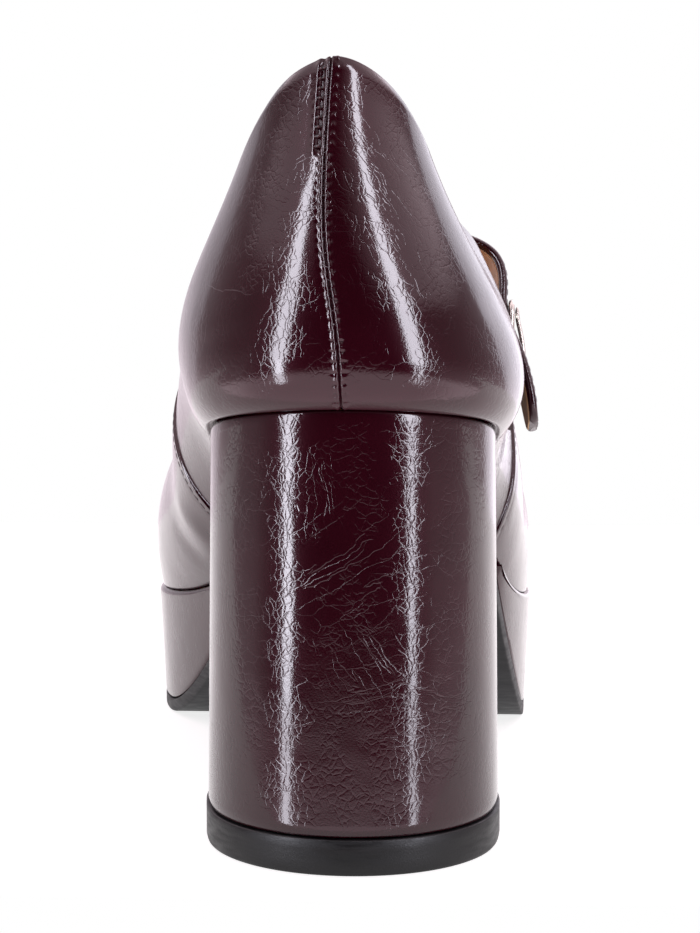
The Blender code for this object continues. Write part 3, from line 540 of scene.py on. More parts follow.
def edge_places(alongs):
    """Places on the last's edge at the given distances along: up the inner side, back down the outer."""
    half = len(SECTIONS) - 1
    rising = np.linspace(0, RING_PLACE[half], EDGE_SAMPLES)
    falling = np.linspace(RING_LENGTH, RING_PLACE[half], EDGE_SAMPLES)
    inner = np.interp(alongs, spline(RING_PLACE, FOOT_RING, rising, closed=True)[:, 1], rising)
    outer = np.interp(alongs, spline(RING_PLACE, FOOT_RING, falling, closed=True)[:, 1], falling)
    return np.concatenate([inner, outer[-2::-1]])


def turned_ends(start, end, turn_start, turn_end, middle):
    """Distances along a rounded outline, close together where its ends turn across the shoe."""
    turn = np.linspace(0, np.pi / 2, 26)
    rear = start + (turn_start - start) * (1 - np.cos(turn))
    front = turn_end + (end - turn_end) * np.sin(turn)
    return np.concatenate([rear[:-1], np.linspace(turn_start, turn_end, middle), front[1:]])


def level(place, outset, up):
    """One closed line round a sole piece: the last's edge moved outwards, at the height up gives."""
    plan, outward = foot_plan(place)
    plan = plan + outward * np.broadcast_to(outset, place.shape)[:, None]
    return np.concatenate([plan, up(plan[:, 1])[:, None]], axis=1)


def strips_across(start, size):
    """Faces that close an odd ring by strips from its inner edge across to its outer edge, and a tip."""
    corner = np.arange(size // 2 - 1)
    far = size - 1 - corner
    quads = start + np.stack([corner, corner + 1, far - 1, far], axis=1)
    middle = start + size // 2
    return [*quads.tolist(), [middle - 1, middle, middle + 1]]


def slab(rings):
    """A body of rings stacked from top to bottom, closed by strips across its first and last ring."""
    rings = np.asarray(rings)
    count, size = rings.shape[:2]
    faces = ring_faces(count, size).tolist()
    return rings, faces + strips_across(0, size) + strips_across((count - 1) * size, size)


insole_edge = edge_places(turned_ends(FOOT_RING[0, 1], LENGTH, 27 * MM, 190 * MM, 90)[1:])
insole_rings = []
for inset, drop in SOCK_LINES:
    insole_rings.append(level(
        insole_edge, -WALL - GAP - inset * MM,
        lambda along: bottom_of_last(along) + INSOLE_THICKNESS - drop * MM,
    ))
make_piece("insole_sock", *slab(insole_rings), LINING, "insole", "insole", sharp=60)

# Platform
# A cork or foam wedge under the forefoot, wrapped in the same patent leather as the upper.
OUTSOLE_THICKNESS = 3.0 * MM
PLATFORM_LEDGE = 0.9 * MM
PLATFORM_TAPER = 1.4 * MM
PLATFORM_ROUNDING = 1.4 * MM
PLATFORM_FOLD = 0.6 * MM
PLATFORM_REAR = 93.0 * MM
HEEL_BREAST_BOTTOM = 51.0 * MM
WAIST_END = 88.0 * MM
TREAD_START = 134.0 * MM
TREAD_END = 172.0 * MM
TOE_TURN = 190.0 * MM
TOE_SPRING = 8.5 * MM
SLOPE_REAR_HANDLE = 8.0 * MM
SLOPE_FRONT_HANDLE = 24.0 * MM


def raised(profile, by):
    """A side view moved by a distance square to itself, upwards."""
    tangent = unit(np.gradient(profile, axis=0))
    return profile + by * np.stack([-tangent[:, 1], tangent[:, 0]], axis=1)


def underside_profile():
    """Side view of the outsole's lower face: the last's waist, a cubic down to the tread, the toe's rise."""
    waist = np.linspace(HEEL_BREAST_BOTTOM, WAIST_END, 60)
    waist = raised(np.stack([waist, bottom_of_last(waist)], axis=1), -OUTSOLE_THICKNESS - GAP)
    start = waist[-1]
    end = np.array([TREAD_START, 0.0])
    low = start + unit(start - waist[-2]) * SLOPE_REAR_HANDLE
    high = end - np.array([SLOPE_FRONT_HANDLE, 0.0])
    t = np.linspace(0, 1, 60)[1:, None]
    slope = (1 - t) ** 3 * start + 3 * (1 - t) ** 2 * t * low + 3 * (1 - t) * t**2 * high + t**3 * end
    share = np.linspace(0, 1, 60)
    spring = TREAD_END + (LENGTH + PLATFORM_LEDGE - TREAD_END) * share
    return np.concatenate([waist, slope, np.stack([spring, TOE_SPRING * share**2], axis=1)])


UNDERSIDE = underside_profile()


def sole_height(lift):
    """A height-giving function for the outsole's lower face raised by lift."""
    profile = raised(UNDERSIDE, lift)
    return lambda along: np.interp(along, profile[:, 0], profile[:, 1])


def sole_places(rear):
    """Places round the sole's edge from the inner rear corner by the toe to the outer rear corner."""
    turn = np.linspace(0, np.pi / 2, 36)
    front = TOE_TURN + (LENGTH - TOE_TURN) * np.sin(turn)
    return edge_places(np.concatenate([np.linspace(rear, TOE_TURN, 90)[:-1], front]))


def platform_level(outset, share, drop):
    """A ring of the platform: share runs from its top to its bottom, drop is a further way down."""
    bottom = sole_height(OUTSOLE_THICKNESS + GAP)

    def up(along):
        top = bottom_of_last(along) - GAP
        tall = np.maximum(top - bottom(along), 0.2 * MM)
        return top - tall * share - np.clip(drop, -tall / 3, tall / 3)

    return level(sole_places(PLATFORM_REAR), outset, up)


platform_rings = []
for turn in np.linspace(0, np.pi / 2, 7):
    outset = PLATFORM_LEDGE - PLATFORM_ROUNDING * (1 - np.sin(turn))
    platform_rings.append(platform_level(outset, 0.0, PLATFORM_ROUNDING * (1 - np.cos(turn))))
for share in np.linspace(0, 1, 22)[2:-1]:
    platform_rings.append(platform_level(PLATFORM_LEDGE - PLATFORM_TAPER * share, share, 0.0))
for turn in np.linspace(0, np.pi / 2, 6):
    outset = PLATFORM_LEDGE - PLATFORM_TAPER - PLATFORM_FOLD * (1 - np.cos(turn))
    platform_rings.append(platform_level(outset, 1.0, -PLATFORM_FOLD * (1 - np.sin(turn))))
make_piece("platform_cover", *slab(platform_rings), PATENT, "platform", "platform", sharp=50)

# Outsole
# A thin black rubber sole glued under waist and platform, its edge trimmed and its lower rim broken.
OUTSOLE_REAR = 61.2 * MM
OUTSOLE_WIDENING = 12.0 * MM
WAIST_INSET = 0.4 * MM
# Lines round the sole from its top down: in from its edge and up from its lower face, in millimetres
OUTSOLE_LINES = ((0.25, 3), (0.07, 2.93), (0, 2.75), (0, 2), (0, 1.2), (0.03, 0.45), (0.13, 0.13), (0.45, 0))


def black_rubber(name, light, dark, roughness):
    """Moulded rubber: near black, satin, with fine scuffs that break up its shine."""
    material, add, place = new_material(name)
    streak = add("VectorMath", {0: place, 1: (0.25, 0.25, 1.6)}, operation="MULTIPLY")
    scuff = add("TexNoise", {"Vector": streak, "Scale": 1 / (1.1 * MM), "Detail": 4.0})
    cloud = add("TexNoise", {"Vector": place, "Scale": 1 / (12 * MM), "Detail": 3.0})
    tone = add("Mix", {0: cloud, 6: colour(dark), 7: colour(light)}, data_type="RGBA")
    shine = add("MapRange", {"Value": scuff, "From Min": 0.3, "From Max": 0.7, "To Min": roughness - 0.08,
                             "To Max": roughness + 0.12})
    grain = add("TexNoise", {"Vector": place, "Scale": 1 / (0.35 * MM), "Detail": 2.0})
    height = add("Math", {0: scuff, 1: 0.6, 2: grain}, operation="MULTIPLY_ADD")
    bump = add("Bump", {"Height": height, "Distance": 0.03 * MM})
    finish_material(add, Base_Color=tone.outputs[2], Roughness=shine, Specular_IOR_Level=0.35, Normal=bump)
    return material


SOLE_RUBBER = black_rubber("black_sole_rubber", "#1b1b1e", "#121214", 0.50)

outsole_edge = sole_places(OUTSOLE_REAR)
outsole_plan, _ = foot_plan(outsole_edge)
widening = np.clip((outsole_plan[:, 1] - WAIST_END) / OUTSOLE_WIDENING, 0, 1)
outsole_outset = widening * (PLATFORM_LEDGE - PLATFORM_TAPER + WAIST_INSET) - WAIST_INSET
outsole_rings = [
    level(outsole_edge, outsole_outset - inset * MM, sole_height(lift * MM)) for inset, lift in OUTSOLE_LINES
]
make_piece("outsole_rubber", *slab(outsole_rings), SOLE_RUBBER, "outsole", "outsole", sharp=50)

# Heel
# A straight block covered in the same patent leather, the cover drawn over its top edge and folded
# under at the bottom.
LIFT_THICKNESS = 6.3 * MM
SEAT_TURN = 27.0 * MM
HEEL_BREAST_TOP = 60.0 * MM
HEEL_OUTSET = 0.9 * MM
HEEL_FLARE = 1.03
HEEL_ROUNDING = 0.9 * MM
BREAST_CORNER = 2.2 * MM
HEEL_FOLD = 0.35 * MM


def heel_ring(outset, depth, flare):
    """Plan of the heel at one level: the seat's edge round the back, then the breast with rounded corners."""
    turn = np.linspace(0, np.pi / 2, 48)
    back = FOOT_RING[0, 1]
    seat = back + (SEAT_TURN - back) * (1 - np.cos(turn))
    sides = np.linspace(SEAT_TURN, HEEL_BREAST_TOP - BREAST_CORNER, 22)[1:]
    plan, outward = foot_plan(edge_places(np.concatenate([seat, sides])[::-1]))
    plan = plan + outward * outset
    squeeze = (depth - SEAT_TURN) / (HEEL_BREAST_TOP - SEAT_TURN)
    along = plan[:, 1] + (squeeze - 1) * np.maximum(plan[:, 1] - SEAT_TURN, 0)
    plan = np.stack([plan[:, 0] * flare, along], axis=1)
    t = np.linspace(0, 1, 7)[1:, None]

    def corner(end, side):
        knee = np.array([end[0], depth])
        far = knee - np.array([side * BREAST_CORNER, 0])
        return (1 - t) ** 2 * end + 2 * (1 - t) * t * knee + t**2 * far

    outer, inner = corner(plan[-1], 1), corner(plan[0], -1)[::-1]
    breast = np.linspace(outer[-1], inner[0], 16)[1:-1]
    return np.concatenate([plan, outer, breast, inner])


def standing(plan, up):
    return np.concatenate([plan, np.broadcast_to(up, len(plan))[:, None]], axis=1)


def fan(rings):
    """A body of stacked rings, closed by fans from the middle of its first and last ring."""
    rings = np.asarray(rings)
    count, size = rings.shape[:2]
    points = np.concatenate([rings.reshape(-1, 3), rings[[0, -1]].mean(axis=1)])
    corner = np.arange(size)
    beside = (corner + 1) % size
    last = (count - 1) * size
    faces = ring_faces(count, size).tolist()
    for start, middle in ((0, count * size), (last, count * size + 1)):
        faces += np.stack([start + corner, start + beside, np.full(size, middle)], axis=1).tolist()
    return points, faces


heel_base = LIFT_THICKNESS + GAP
heel_rings = []
for turn in np.linspace(0, np.pi / 2, 6)[:-1]:
    plan = heel_ring(HEEL_OUTSET - HEEL_ROUNDING * (1 - np.sin(turn)), HEEL_BREAST_TOP, 1.0)
    heel_rings.append(standing(plan, bottom_of_last(plan[:, 1]) - GAP - HEEL_ROUNDING * (1 - np.cos(turn))))
for share in np.linspace(1, 0, 70):
    depth = HEEL_BREAST_BOTTOM + (HEEL_BREAST_TOP - HEEL_BREAST_BOTTOM) * share**1.6
    foot = np.clip(1 - share * 100, 0, 1)
    plan = heel_ring(HEEL_OUTSET - HEEL_FOLD * foot, depth, HEEL_FLARE + (1 - HEEL_FLARE) * share)
    crown = bottom_of_last(plan[:, 1]) - GAP - HEEL_ROUNDING
    heel_rings.append(standing(plan, heel_base + (crown - heel_base) * share))
make_piece("heel_cover", *fan(heel_rings), PATENT, "heel_block", "heel_block", sharp=50)

# Top lift
# A moulded black rubber wearing piece under the heel, a hair proud of the cover, its edges broken.
LIFT_PROUD = 0.35 * MM
# Lines round the lift from its top down: in from its edge and up from the floor, in millimetres
LIFT_LINES = (
    (0.4, 6.3), (0.12, 6.25), (0, 6.05), (0, 4.5), (0, 2.5), (0, 0.7), (0.1, 0.25), (0.25, 0.08), (0.5, 0),
)
LIFT_RUBBER = black_rubber("satin_lift_rubber", "#151517", "#0d0d0f", 0.42)

lift_rings = []
for inset, up in LIFT_LINES:
    outset = LIFT_PROUD - inset * MM
    plan = heel_ring(HEEL_OUTSET + outset, HEEL_BREAST_BOTTOM + outset, HEEL_FLARE)
    lift_rings.append(standing(plan, up * MM))
make_piece("top_lift_rubber", *fan(lift_rings), LIFT_RUBBER, "top_lift", "top_lift", sharp=50)

# Strap
# A band of patent leather with folded edges and a tan lining on its inner face, sewn along both edges. It
# starts inside the inner quarter, arches over the instep, and its tail lies over the buckle's lower bar.
STRAP_WIDTH = 14.0 * MM
STRAP_THICKNESS = 2.0 * MM
STRAP_LEAN = math.radians(25.0)
STRAP_TOP_ALONG = 95.0 * MM
STRAP_TOP_HEIGHT = 111.7 * MM
STRAP_OUTER_SIDE = -13.9 * MM
STRAP_INNER_SIDE = -15.9 * MM
STRAP_INNER_END = -29.9 * MM
STRAP_FULLNESS = 3.3
STRAP_STAND_OFF = 0.9 * MM
BUCKLE_WIRE = 1.3 * MM
BUCKLE_UPPER_BAR = -16.9 * MM
BUCKLE_LOWER_BAR = -28.9 * MM
TAIL_END = -42.6 * MM
TAIL_ROUNDING = 6.0 * MM
TAIL_TIP = 2.5 * MM
TAIL_LEAN = 0.20
STRAP_STITCH = 1.7 * MM
HOLE_PITCH = 8.0 * MM
# Lines round a hole from its rim inwards: radius and height over the strap, in millimetres
HOLE_LINES = ((1.1, -0.1), (1.15, 0.17), (1, 0.22), (0.85, 0.16), (0.75, 0.05))

STRAP_UP = np.array([0.0, math.sin(STRAP_LEAN), math.cos(STRAP_LEAN)])
STRAP_ACROSS = np.array([0.0, math.cos(STRAP_LEAN), -math.sin(STRAP_LEAN)])
STRAP_TOP = np.array([0.0, STRAP_TOP_ALONG, STRAP_TOP_HEIGHT])


def face_of(grid):
    """A grid of places round and up as a face that lines across the shoe can meet."""
    rings = grid.swapaxes(0, 1)
    return BVHTree.FromPolygons(rings.reshape(-1, 3).tolist(), ring_faces(*rings.shape[:2]).tolist())


OUTER_SIDE, INNER_SIDE = face_of(outer_wall), face_of(worn_face)


def on_strap(sideways, up, across):
    """A point from a place on the strap: sideways, up its lean and across its width."""
    sideways, up, across = np.broadcast_arrays(sideways, up, across)
    square = up[..., None] * STRAP_UP + across[..., None] * STRAP_ACROSS
    return STRAP_TOP + sideways[..., None] * np.array([1.0, 0.0, 0.0]) + square


def wall_beside(side, start, up, width):
    """The furthest place outwards where lines across the shoe meet a side under a band of this width."""
    rays = [
        side.ray_cast(Vector(on_strap(start, up, across)), Vector((-1, 0, 0)))[0]
        for across in np.linspace(-width / 2, width / 2, 7)
    ]
    return max(hit.x for hit in rays if hit)


def through(points, count):
    """Evenly spread points on a smooth line through a few given ones."""
    points = np.asarray(points)
    return spline(length_along(points, 0), points, np.linspace(0, length_along(points, 0)[-1], count))


LOWER_BAR = wall_beside(OUTER_SIDE, LENGTH, BUCKLE_LOWER_BAR, STRAP_WIDTH) + GAP + BUCKLE_WIRE / 2
UNDER_BAR = wall_beside(OUTER_SIDE, LENGTH, BUCKLE_UPPER_BAR, STRAP_WIDTH) + GAP + STRAP_THICKNESS / 2


def strap_line():
    """The strap's middle line: tail, over the lower bar, under the upper bar, over the instep, inside."""
    off = GAP + STRAP_THICKNESS / 2

    def outside(up):
        return wall_beside(OUTER_SIDE, LENGTH, up, STRAP_WIDTH) + off

    def inside(up):
        return wall_beside(INNER_SIDE, 0.0, up, STRAP_WIDTH) + off

    over_bar = LOWER_BAR + BUCKLE_WIRE / 2 + off
    right = outside(STRAP_OUTER_SIDE) + STRAP_STAND_OFF
    left = inside(STRAP_INNER_SIDE)
    line = [
        (over_bar + TAIL_LEAN * (BUCKLE_LOWER_BAR - TAIL_END), TAIL_END),
        (over_bar, BUCKLE_LOWER_BAR),
        (UNDER_BAR, BUCKLE_UPPER_BAR),
        (right, STRAP_OUTER_SIDE),
    ]
    rise = 2 / STRAP_FULLNESS
    for turn in np.radians((24, 42, 66, 90, 114, 138, 156)):
        reach = math.copysign(abs(math.cos(turn)) ** rise, math.cos(turn))
        start = STRAP_OUTER_SIDE if turn < math.pi / 2 else STRAP_INNER_SIDE
        line.append(((right + left + (right - left) * reach) / 2, start * (1 - math.sin(turn) ** rise)))
    line += [(inside(up), up) for up in np.linspace(STRAP_INNER_SIDE, STRAP_INNER_END, 5)]
    line = through(line, 180)
    for station, (sideways, up) in enumerate(line):
        if sideways > 0 and up < STRAP_OUTER_SIDE:
            line[station, 0] = max(sideways, outside(up))
        if sideways < 0 and up < STRAP_INNER_SIDE:
            line[station, 0] = max(sideways, inside(up))
    return line


def line_normal(line):
    tangent = unit(np.gradient(line, axis=0))
    return np.stack([tangent[:, 1], -tangent[:, 0]], axis=1)


def band(line, width, low, high, crown=0.0, seam=0.0):
    """Rings of a flat strip between two heights over a line: rounded edges, a crown and two sewn grooves."""
    tall = high - low
    bend = np.linspace(0, np.pi, 7)
    half = np.broadcast_to(width / 2, len(line))[:, None]
    flat = half - tall / 2
    across_top = flat * np.linspace(1, -1, 41)[None, 1:-1]
    from_edge = half - np.abs(across_top)
    top = high + crown * (1 - (across_top / half) ** 2) - seam * hump(from_edge, STRAP_STITCH, 0.35 * MM)
    across_low = flat * np.linspace(-1, 1, 15)[None, 1:-1]
    right = flat + tall / 2 * np.sin(bend)[None, ::-1]
    round_up = np.broadcast_to((low + high) / 2 - tall / 2 * np.cos(bend), (len(line), len(bend)))
    across = np.concatenate([right, across_top, -right, across_low], axis=1)
    off = np.concatenate([round_up, top, round_up[:, ::-1], np.full_like(across_low, low)], axis=1)
    place = line[:, None, :] + line_normal(line)[:, None, :] * off[..., None]
    return on_strap(place[..., 0], place[..., 1], across)


STRAP_LINE = strap_line()
from_tip = length_along(STRAP_LINE, 0)
tip_share = np.clip(from_tip / TAIL_ROUNDING, 0.02, 1)
strap_width = 2 * TAIL_TIP + (STRAP_WIDTH - 2 * TAIL_TIP) * np.sqrt(1 - (1 - tip_share) ** 2)
HALF = STRAP_THICKNESS / 2
strap_leather = band(STRAP_LINE, strap_width, -0.80 * MM, HALF, 0.15 * MM, 0.14 * MM)
make_piece("strap_leather", *fan(strap_leather), PATENT, "strap", "strap", sharp=50)
strap_backing = band(STRAP_LINE, strap_width - 2.4 * MM, -HALF, -0.70 * MM)
make_piece("strap_lining", *fan(strap_backing), LINING, "strap", sharp=50)

# Strap holes
# Round holes punched through the strap in its middle, each a dark disc over the strap with a pressed rim; the
# disc's dark centre is painted shade for the hole's depth.
HOLE_PLACES = (BUCKLE_LOWER_BAR + 2.5 * MM - HOLE_PITCH, BUCKLE_LOWER_BAR + 2.5 * MM)


def fibrous(name, dark, light, roughness, kind, **pattern):
    """A dark fibrous surface: one fine pattern gives its two tones and its relief."""
    material, add, place = new_material(name)
    fibre = add(kind, {"Vector": place, **pattern}).outputs["Fac"]
    tone = add("Mix", {0: fibre, 6: colour(dark), 7: colour(light)}, data_type="RGBA").outputs[2]
    bump = add("Bump", {"Height": fibre, "Distance": 0.05 * MM})
    finish_material(add, Base_Color=tone, Roughness=roughness, Normal=bump)
    return material


# The torn fibres inside a punched hole: dull and rough, their dark tone partly their own and partly painted
# shade for the hole's depth
PUNCHED_EDGE_AND_HOLE_SHADE = fibrous(
    "punched_edge_and_painted_hole_shade", "#0d0404", "#2a1512", 0.8, "TexNoise", Scale=1 / (0.3 * MM), Detail=3.0,
)


def over_tail(up, across, off):
    """Points over the outer half of the strap, off its middle line."""
    tail = STRAP_LINE[: len(STRAP_LINE) // 3]
    normal = line_normal(STRAP_LINE)[: len(tail)]
    sideways = np.interp(up, tail[:, 1], tail[:, 0])
    lean = np.stack([np.interp(up, tail[:, 1], normal[:, k]) for k in range(2)], axis=-1)
    return on_strap(sideways + lean[..., 0] * off, up + lean[..., 1] * off, across)


turn = np.linspace(0, 2 * np.pi, 20, endpoint=False)
hole_points, hole_faces = [], []
for place in HOLE_PLACES:
    rings = []
    for radius, off in HOLE_LINES:
        up, across = radius * MM * np.cos(turn), radius * MM * np.sin(turn)
        rings.append(over_tail(place + up, across, HALF + off * MM))
    points, faces = fan(rings)
    hole_faces += [[corner + sum(map(len, hole_points)) for corner in face] for face in faces]
    hole_points.append(points)
make_piece("strap_holes", np.concatenate(hole_points), hole_faces, PUNCHED_EDGE_AND_HOLE_SHADE, "strap")

# Buckle tab
# A short folded tab of the same leather that holds the buckle's lower bar against the outer quarter.
TAB_WIDTH = 9.0 * MM
TAB_THICKNESS = 0.9 * MM
TAB_END = -41.9 * MM

tab_up = np.linspace(TAB_END, BUCKLE_LOWER_BAR - BUCKLE_WIRE / 2 - GAP, 24)
tab_side = [wall_beside(OUTER_SIDE, LENGTH, up, TAB_WIDTH) + GAP + TAB_THICKNESS / 2 for up in tab_up]
tab_line = np.stack([tab_side, tab_up], axis=1)
tab_rings = band(tab_line, TAB_WIDTH, -TAB_THICKNESS / 2, TAB_THICKNESS / 2, 0.05 * MM)
make_piece("buckle_tab_leather", *fan(tab_rings), PATENT, "buckle_tab", "buckle_tab", sharp=50)

# Buckle frame
# A round-cornered frame bent from nickel-plated wire, its upper bar over the strap, its lower bar under.
BUCKLE_CORNER = 3.0 * MM
UPPER_BAR = UNDER_BAR + STRAP_THICKNESS / 2 + GAP + BUCKLE_WIRE / 2


def nickel_plate():
    """Polished nickel: bright and slightly warm, with fine handling scratches in its shine."""
    material, add, place = new_material("nickel_plate")
    streak = add("VectorMath", {0: place, 1: (1.0, 0.3, 2.0)}, operation="MULTIPLY")
    scratch = add("TexNoise", {"Vector": streak, "Scale": 1 / (0.5 * MM), "Detail": 4.0})
    shine = add("MapRange", {"Value": scratch, "To Min": 0.10, "To Max": 0.30})
    bump = add("Bump", {"Height": scratch, "Distance": 0.01 * MM})
    finish_material(add, Base_Color=colour("#cfccc4"), Metallic=1.0, Roughness=shine, Normal=bump)
    return material


NICKEL = nickel_plate()


def tube(path, tangent, square, wire):
    """Rings of a round wire along a path that lies in the plane square to a direction."""
    angle = np.linspace(0, 2 * np.pi, 16, endpoint=False)[None, :, None]
    sideways = unit(np.cross(unit(square), unit(tangent)))[:, None, :]
    reach = np.broadcast_to(wire / 2, len(path))[:, None, None]
    return path[:, None, :] + reach * (np.cos(angle) * sideways + np.sin(angle) * unit(square))


half_across = STRAP_WIDTH / 2 + GAP + BUCKLE_WIRE / 2
half_up = (BUCKLE_UPPER_BAR - BUCKLE_LOWER_BAR) / 2
frame_line = []
for quarter, (side, end) in enumerate(((1, 1), (-1, 1), (-1, -1), (1, -1))):
    turn = np.linspace(0, np.pi / 2, 12) + quarter * np.pi / 2
    across = side * (half_across - BUCKLE_CORNER) + BUCKLE_CORNER * np.cos(turn)
    up = end * (half_up - BUCKLE_CORNER) + BUCKLE_CORNER * np.sin(turn)
    frame_line.append(np.stack([across, up], axis=1))
across, up = np.concatenate(frame_line).T
sideways = LOWER_BAR + (UPPER_BAR - LOWER_BAR) * (up + half_up) / (2 * half_up)
frame_path = on_strap(sideways, (BUCKLE_UPPER_BAR + BUCKLE_LOWER_BAR) / 2 + up, across)
frame_tangent = np.roll(frame_path, -1, axis=0) - np.roll(frame_path, 1, axis=0)
bar_rise = on_strap(UPPER_BAR, BUCKLE_UPPER_BAR, 0.0) - on_strap(LOWER_BAR, BUCKLE_LOWER_BAR, 0.0)
frame_rings = tube(frame_path, frame_tangent, np.cross(STRAP_ACROSS, bar_rise), BUCKLE_WIRE)
make_piece("buckle_frame_wire", frame_rings, ring_faces(len(frame_rings), 16, closed=True), NICKEL,
           "buckle_frame", "buckle_frame")

# Buckle prong
# A pin of the same wire that comes up through a hole in the strap and rests on the upper bar.
PRONG_WIRE = 1.0 * MM
PRONG_FOOT = 2.5 * MM
PRONG_TIP = 1.6 * MM
PRONG_BOW = 0.2 * MM

prong_up = BUCKLE_LOWER_BAR + PRONG_FOOT
prong_foot = np.interp(prong_up, STRAP_LINE[:60, 1], STRAP_LINE[:60, 0])
prong_foot += HALF + GAP + PRONG_WIRE / 2 + PRONG_BOW
prong_head = UPPER_BAR + BUCKLE_WIRE / 2 + GAP + PRONG_WIRE / 2
prong_line = through((
    (prong_foot, prong_up),
    ((prong_foot + prong_head + PRONG_BOW) / 2, (prong_up + BUCKLE_UPPER_BAR) / 2),
    (prong_head, BUCKLE_UPPER_BAR),
    (prong_head, BUCKLE_UPPER_BAR + PRONG_TIP),
), 30)
prong_path = on_strap(prong_line[:, 0], prong_line[:, 1], 0.0)
prong_wire = PRONG_WIRE * np.sqrt(1 - np.linspace(0, 1, 30) ** 14 * 0.85)
prong_rings = tube(prong_path, np.gradient(prong_path, axis=0), STRAP_ACROSS, prong_wire)
make_piece("buckle_prong_wire", *fan(prong_rings), NICKEL, "buckle_prong", "buckle_prong")

# Stitches
# Waxed burgundy thread: one row along each vamp edge and each edge of the strap, and thick bars across
# the sewn channel beside the top of the back seam.
STITCH_PITCH = 2.3 * MM
STITCH_LENGTH = 1.65 * MM
BAR_LENGTH = 1.45 * MM
BAR_THICKNESS = 0.46 * MM
BAR_SUNK = 0.14 * MM
# Dark waxed thread: a soft shine broken by its twist
WAXED = fibrous("waxed_thread", "#1a0508", "#431319", 0.45, "TexWave", Scale=1 / (2.5 * MM), Distortion=2.0)


def stitches(name, middle, ahead, up, length, thick, slot):
    """Threads at given middles: each a round bead drawn out along ahead, thinner at both ends."""
    middle, ahead, up = (np.reshape(x, (-1, 1, 1, 3)) for x in np.broadcast_arrays(middle, ahead, up))
    share = np.linspace(-1, 1, 6)[None, :, None, None]
    angle = np.linspace(0, 2 * np.pi, 6, endpoint=False)[None, None, :, None]
    girth = thick / 2 * np.sqrt(1.12 - share**4)
    side = np.cross(up, ahead)
    points = middle + ahead * share * length / 2 + girth * (np.cos(angle) * side + np.sin(angle) * up)
    start = 36 * np.arange(len(points))[:, None, None]
    ends = np.array([np.arange(6), np.arange(30, 36)])
    faces = (ring_faces(6, 6) + start).reshape(-1, 4).tolist() + (ends + start).reshape(-1, 6).tolist()
    make_piece(name, points, faces, WAXED, slot)


def spaced(path, normal, pitch):
    """Places a pitch apart on a line of points: the place, the direction of the line and its normal."""
    far = length_along(path, 0)
    at = np.arange(pitch / 2, far[-1], pitch)

    def pick(rows, where):
        return np.stack([np.interp(where, far, rows[:, k]) for k in range(3)], axis=1)

    ahead = unit(pick(path, at + 0.2 * MM) - pick(path, at - 0.2 * MM))
    return pick(path, at), ahead, unit(pick(normal, at))


vamp_rows = []
for place, way in ((VAMP_INNER_PLACE, 1), (VAMP_OUTER_PLACE, -1)):
    point, normal, onward, _ = wall_frame(place, np.linspace(0.06, 0.93, 300))
    path = point + onward * way * VAMP_ROW + normal * (VAMP_STEP - 0.07 * MM)
    vamp_rows.append(spaced(path, normal, STITCH_PITCH))
vamp_rows = [np.concatenate(part) for part in zip(*vamp_rows)]
stitches("vamp_stitches", *vamp_rows, STITCH_LENGTH, 0.26 * MM, "upper")

seam_height = np.linspace(1, 0.3, 600)
seam_line = wall_curve(np.zeros(600), seam_height)
thread_at = np.arange(SEAM_STITCH, SEAM_ROW_END - 1 * MM, SEAM_STITCH)
picked = np.searchsorted(length_along(seam_line, 0), thread_at)
thread_height = seam_height[picked]
beside_seam_line = wall_curve(np.full(len(picked), MM), thread_height)
stretch = np.linalg.norm(beside_seam_line - seam_line[picked], axis=-1) / MM
thread_off = spline(SEAM_UP, SEAM_BEND, SEAM_UP[-1] - thread_at) + SEAM_ROW
point, normal, onward, _ = wall_frame(thread_off / stretch, thread_height)
stitches("seam_threads", point - normal * BAR_SUNK, onward, normal, BAR_LENGTH, BAR_THICKNESS, "upper")

strap_rows = []
strap_normal = line_normal(STRAP_LINE)
over = STRAP_LINE + strap_normal * HALF
normal = strap_normal[:, :1] * np.array([1.0, 0, 0]) + strap_normal[:, 1:] * STRAP_UP
for way in (1, -1):
    path = on_strap(over[:, 0], over[:, 1], way * (strap_width / 2 - STRAP_STITCH))
    strap_rows.append(spaced(path[4:], normal[4:], STITCH_PITCH))
strap_rows = [np.concatenate(part) for part in zip(*strap_rows)]
stitches("strap_stitches", *strap_rows, STITCH_LENGTH, 0.40 * MM, "strap")

# Floor
# A white studio table, lit and given a painted glow until it burns out to white round a faint contact shadow;
# the painted glow is brighter towards the outer side. It ends close behind the heel, its near corners cut
# back, so that the gloss on the heel mirrors little of it.


def white_table():
    """A matt white sheet with a barely visible unevenness and a painted glow, brighter towards the outer
    side.
    """
    material, add, place = new_material("white_table")
    cloud = add("TexNoise", {"Vector": place, "Scale": 9.0, "Detail": 2.0})
    tone = add("Mix", {0: cloud, 6: colour("#b8b8b8"), 7: colour("#b2b2b2")}, data_type="RGBA")
    side = add("SeparateXYZ", {0: place}).outputs["X"]
    # Painted glow: emission that lifts the sheet to white, stronger towards the outer side
    lit = add("MapRange", {"Value": side, "From Max": 0.4, "To Min": 0.80, "To Max": 1.05})
    finish_material(add, Base_Color=tone.outputs[2], Roughness=0.9, Specular_IOR_Level=0.1,
                    Emission_Color=colour("#ffffff"), Emission_Strength=lit)
    return material


table_mesh = bpy.data.meshes.new("table")
table_edge = [(-0.075, -0.125, 0), (0.075, -0.125, 0), (0.7, 0.12, 0), (3, 0.12, 0)]
table_edge += [(3, 0.45, 0), (-3, 0.45, 0), (-3, 0.12, 0), (-0.7, 0.12, 0)]
table_mesh.from_pydata(table_edge, [], [range(len(table_edge))])
table_mesh.materials.append(white_table())
table = bpy.data.objects.new("table", table_mesh)
bpy.context.scene.collection.objects.link(table)

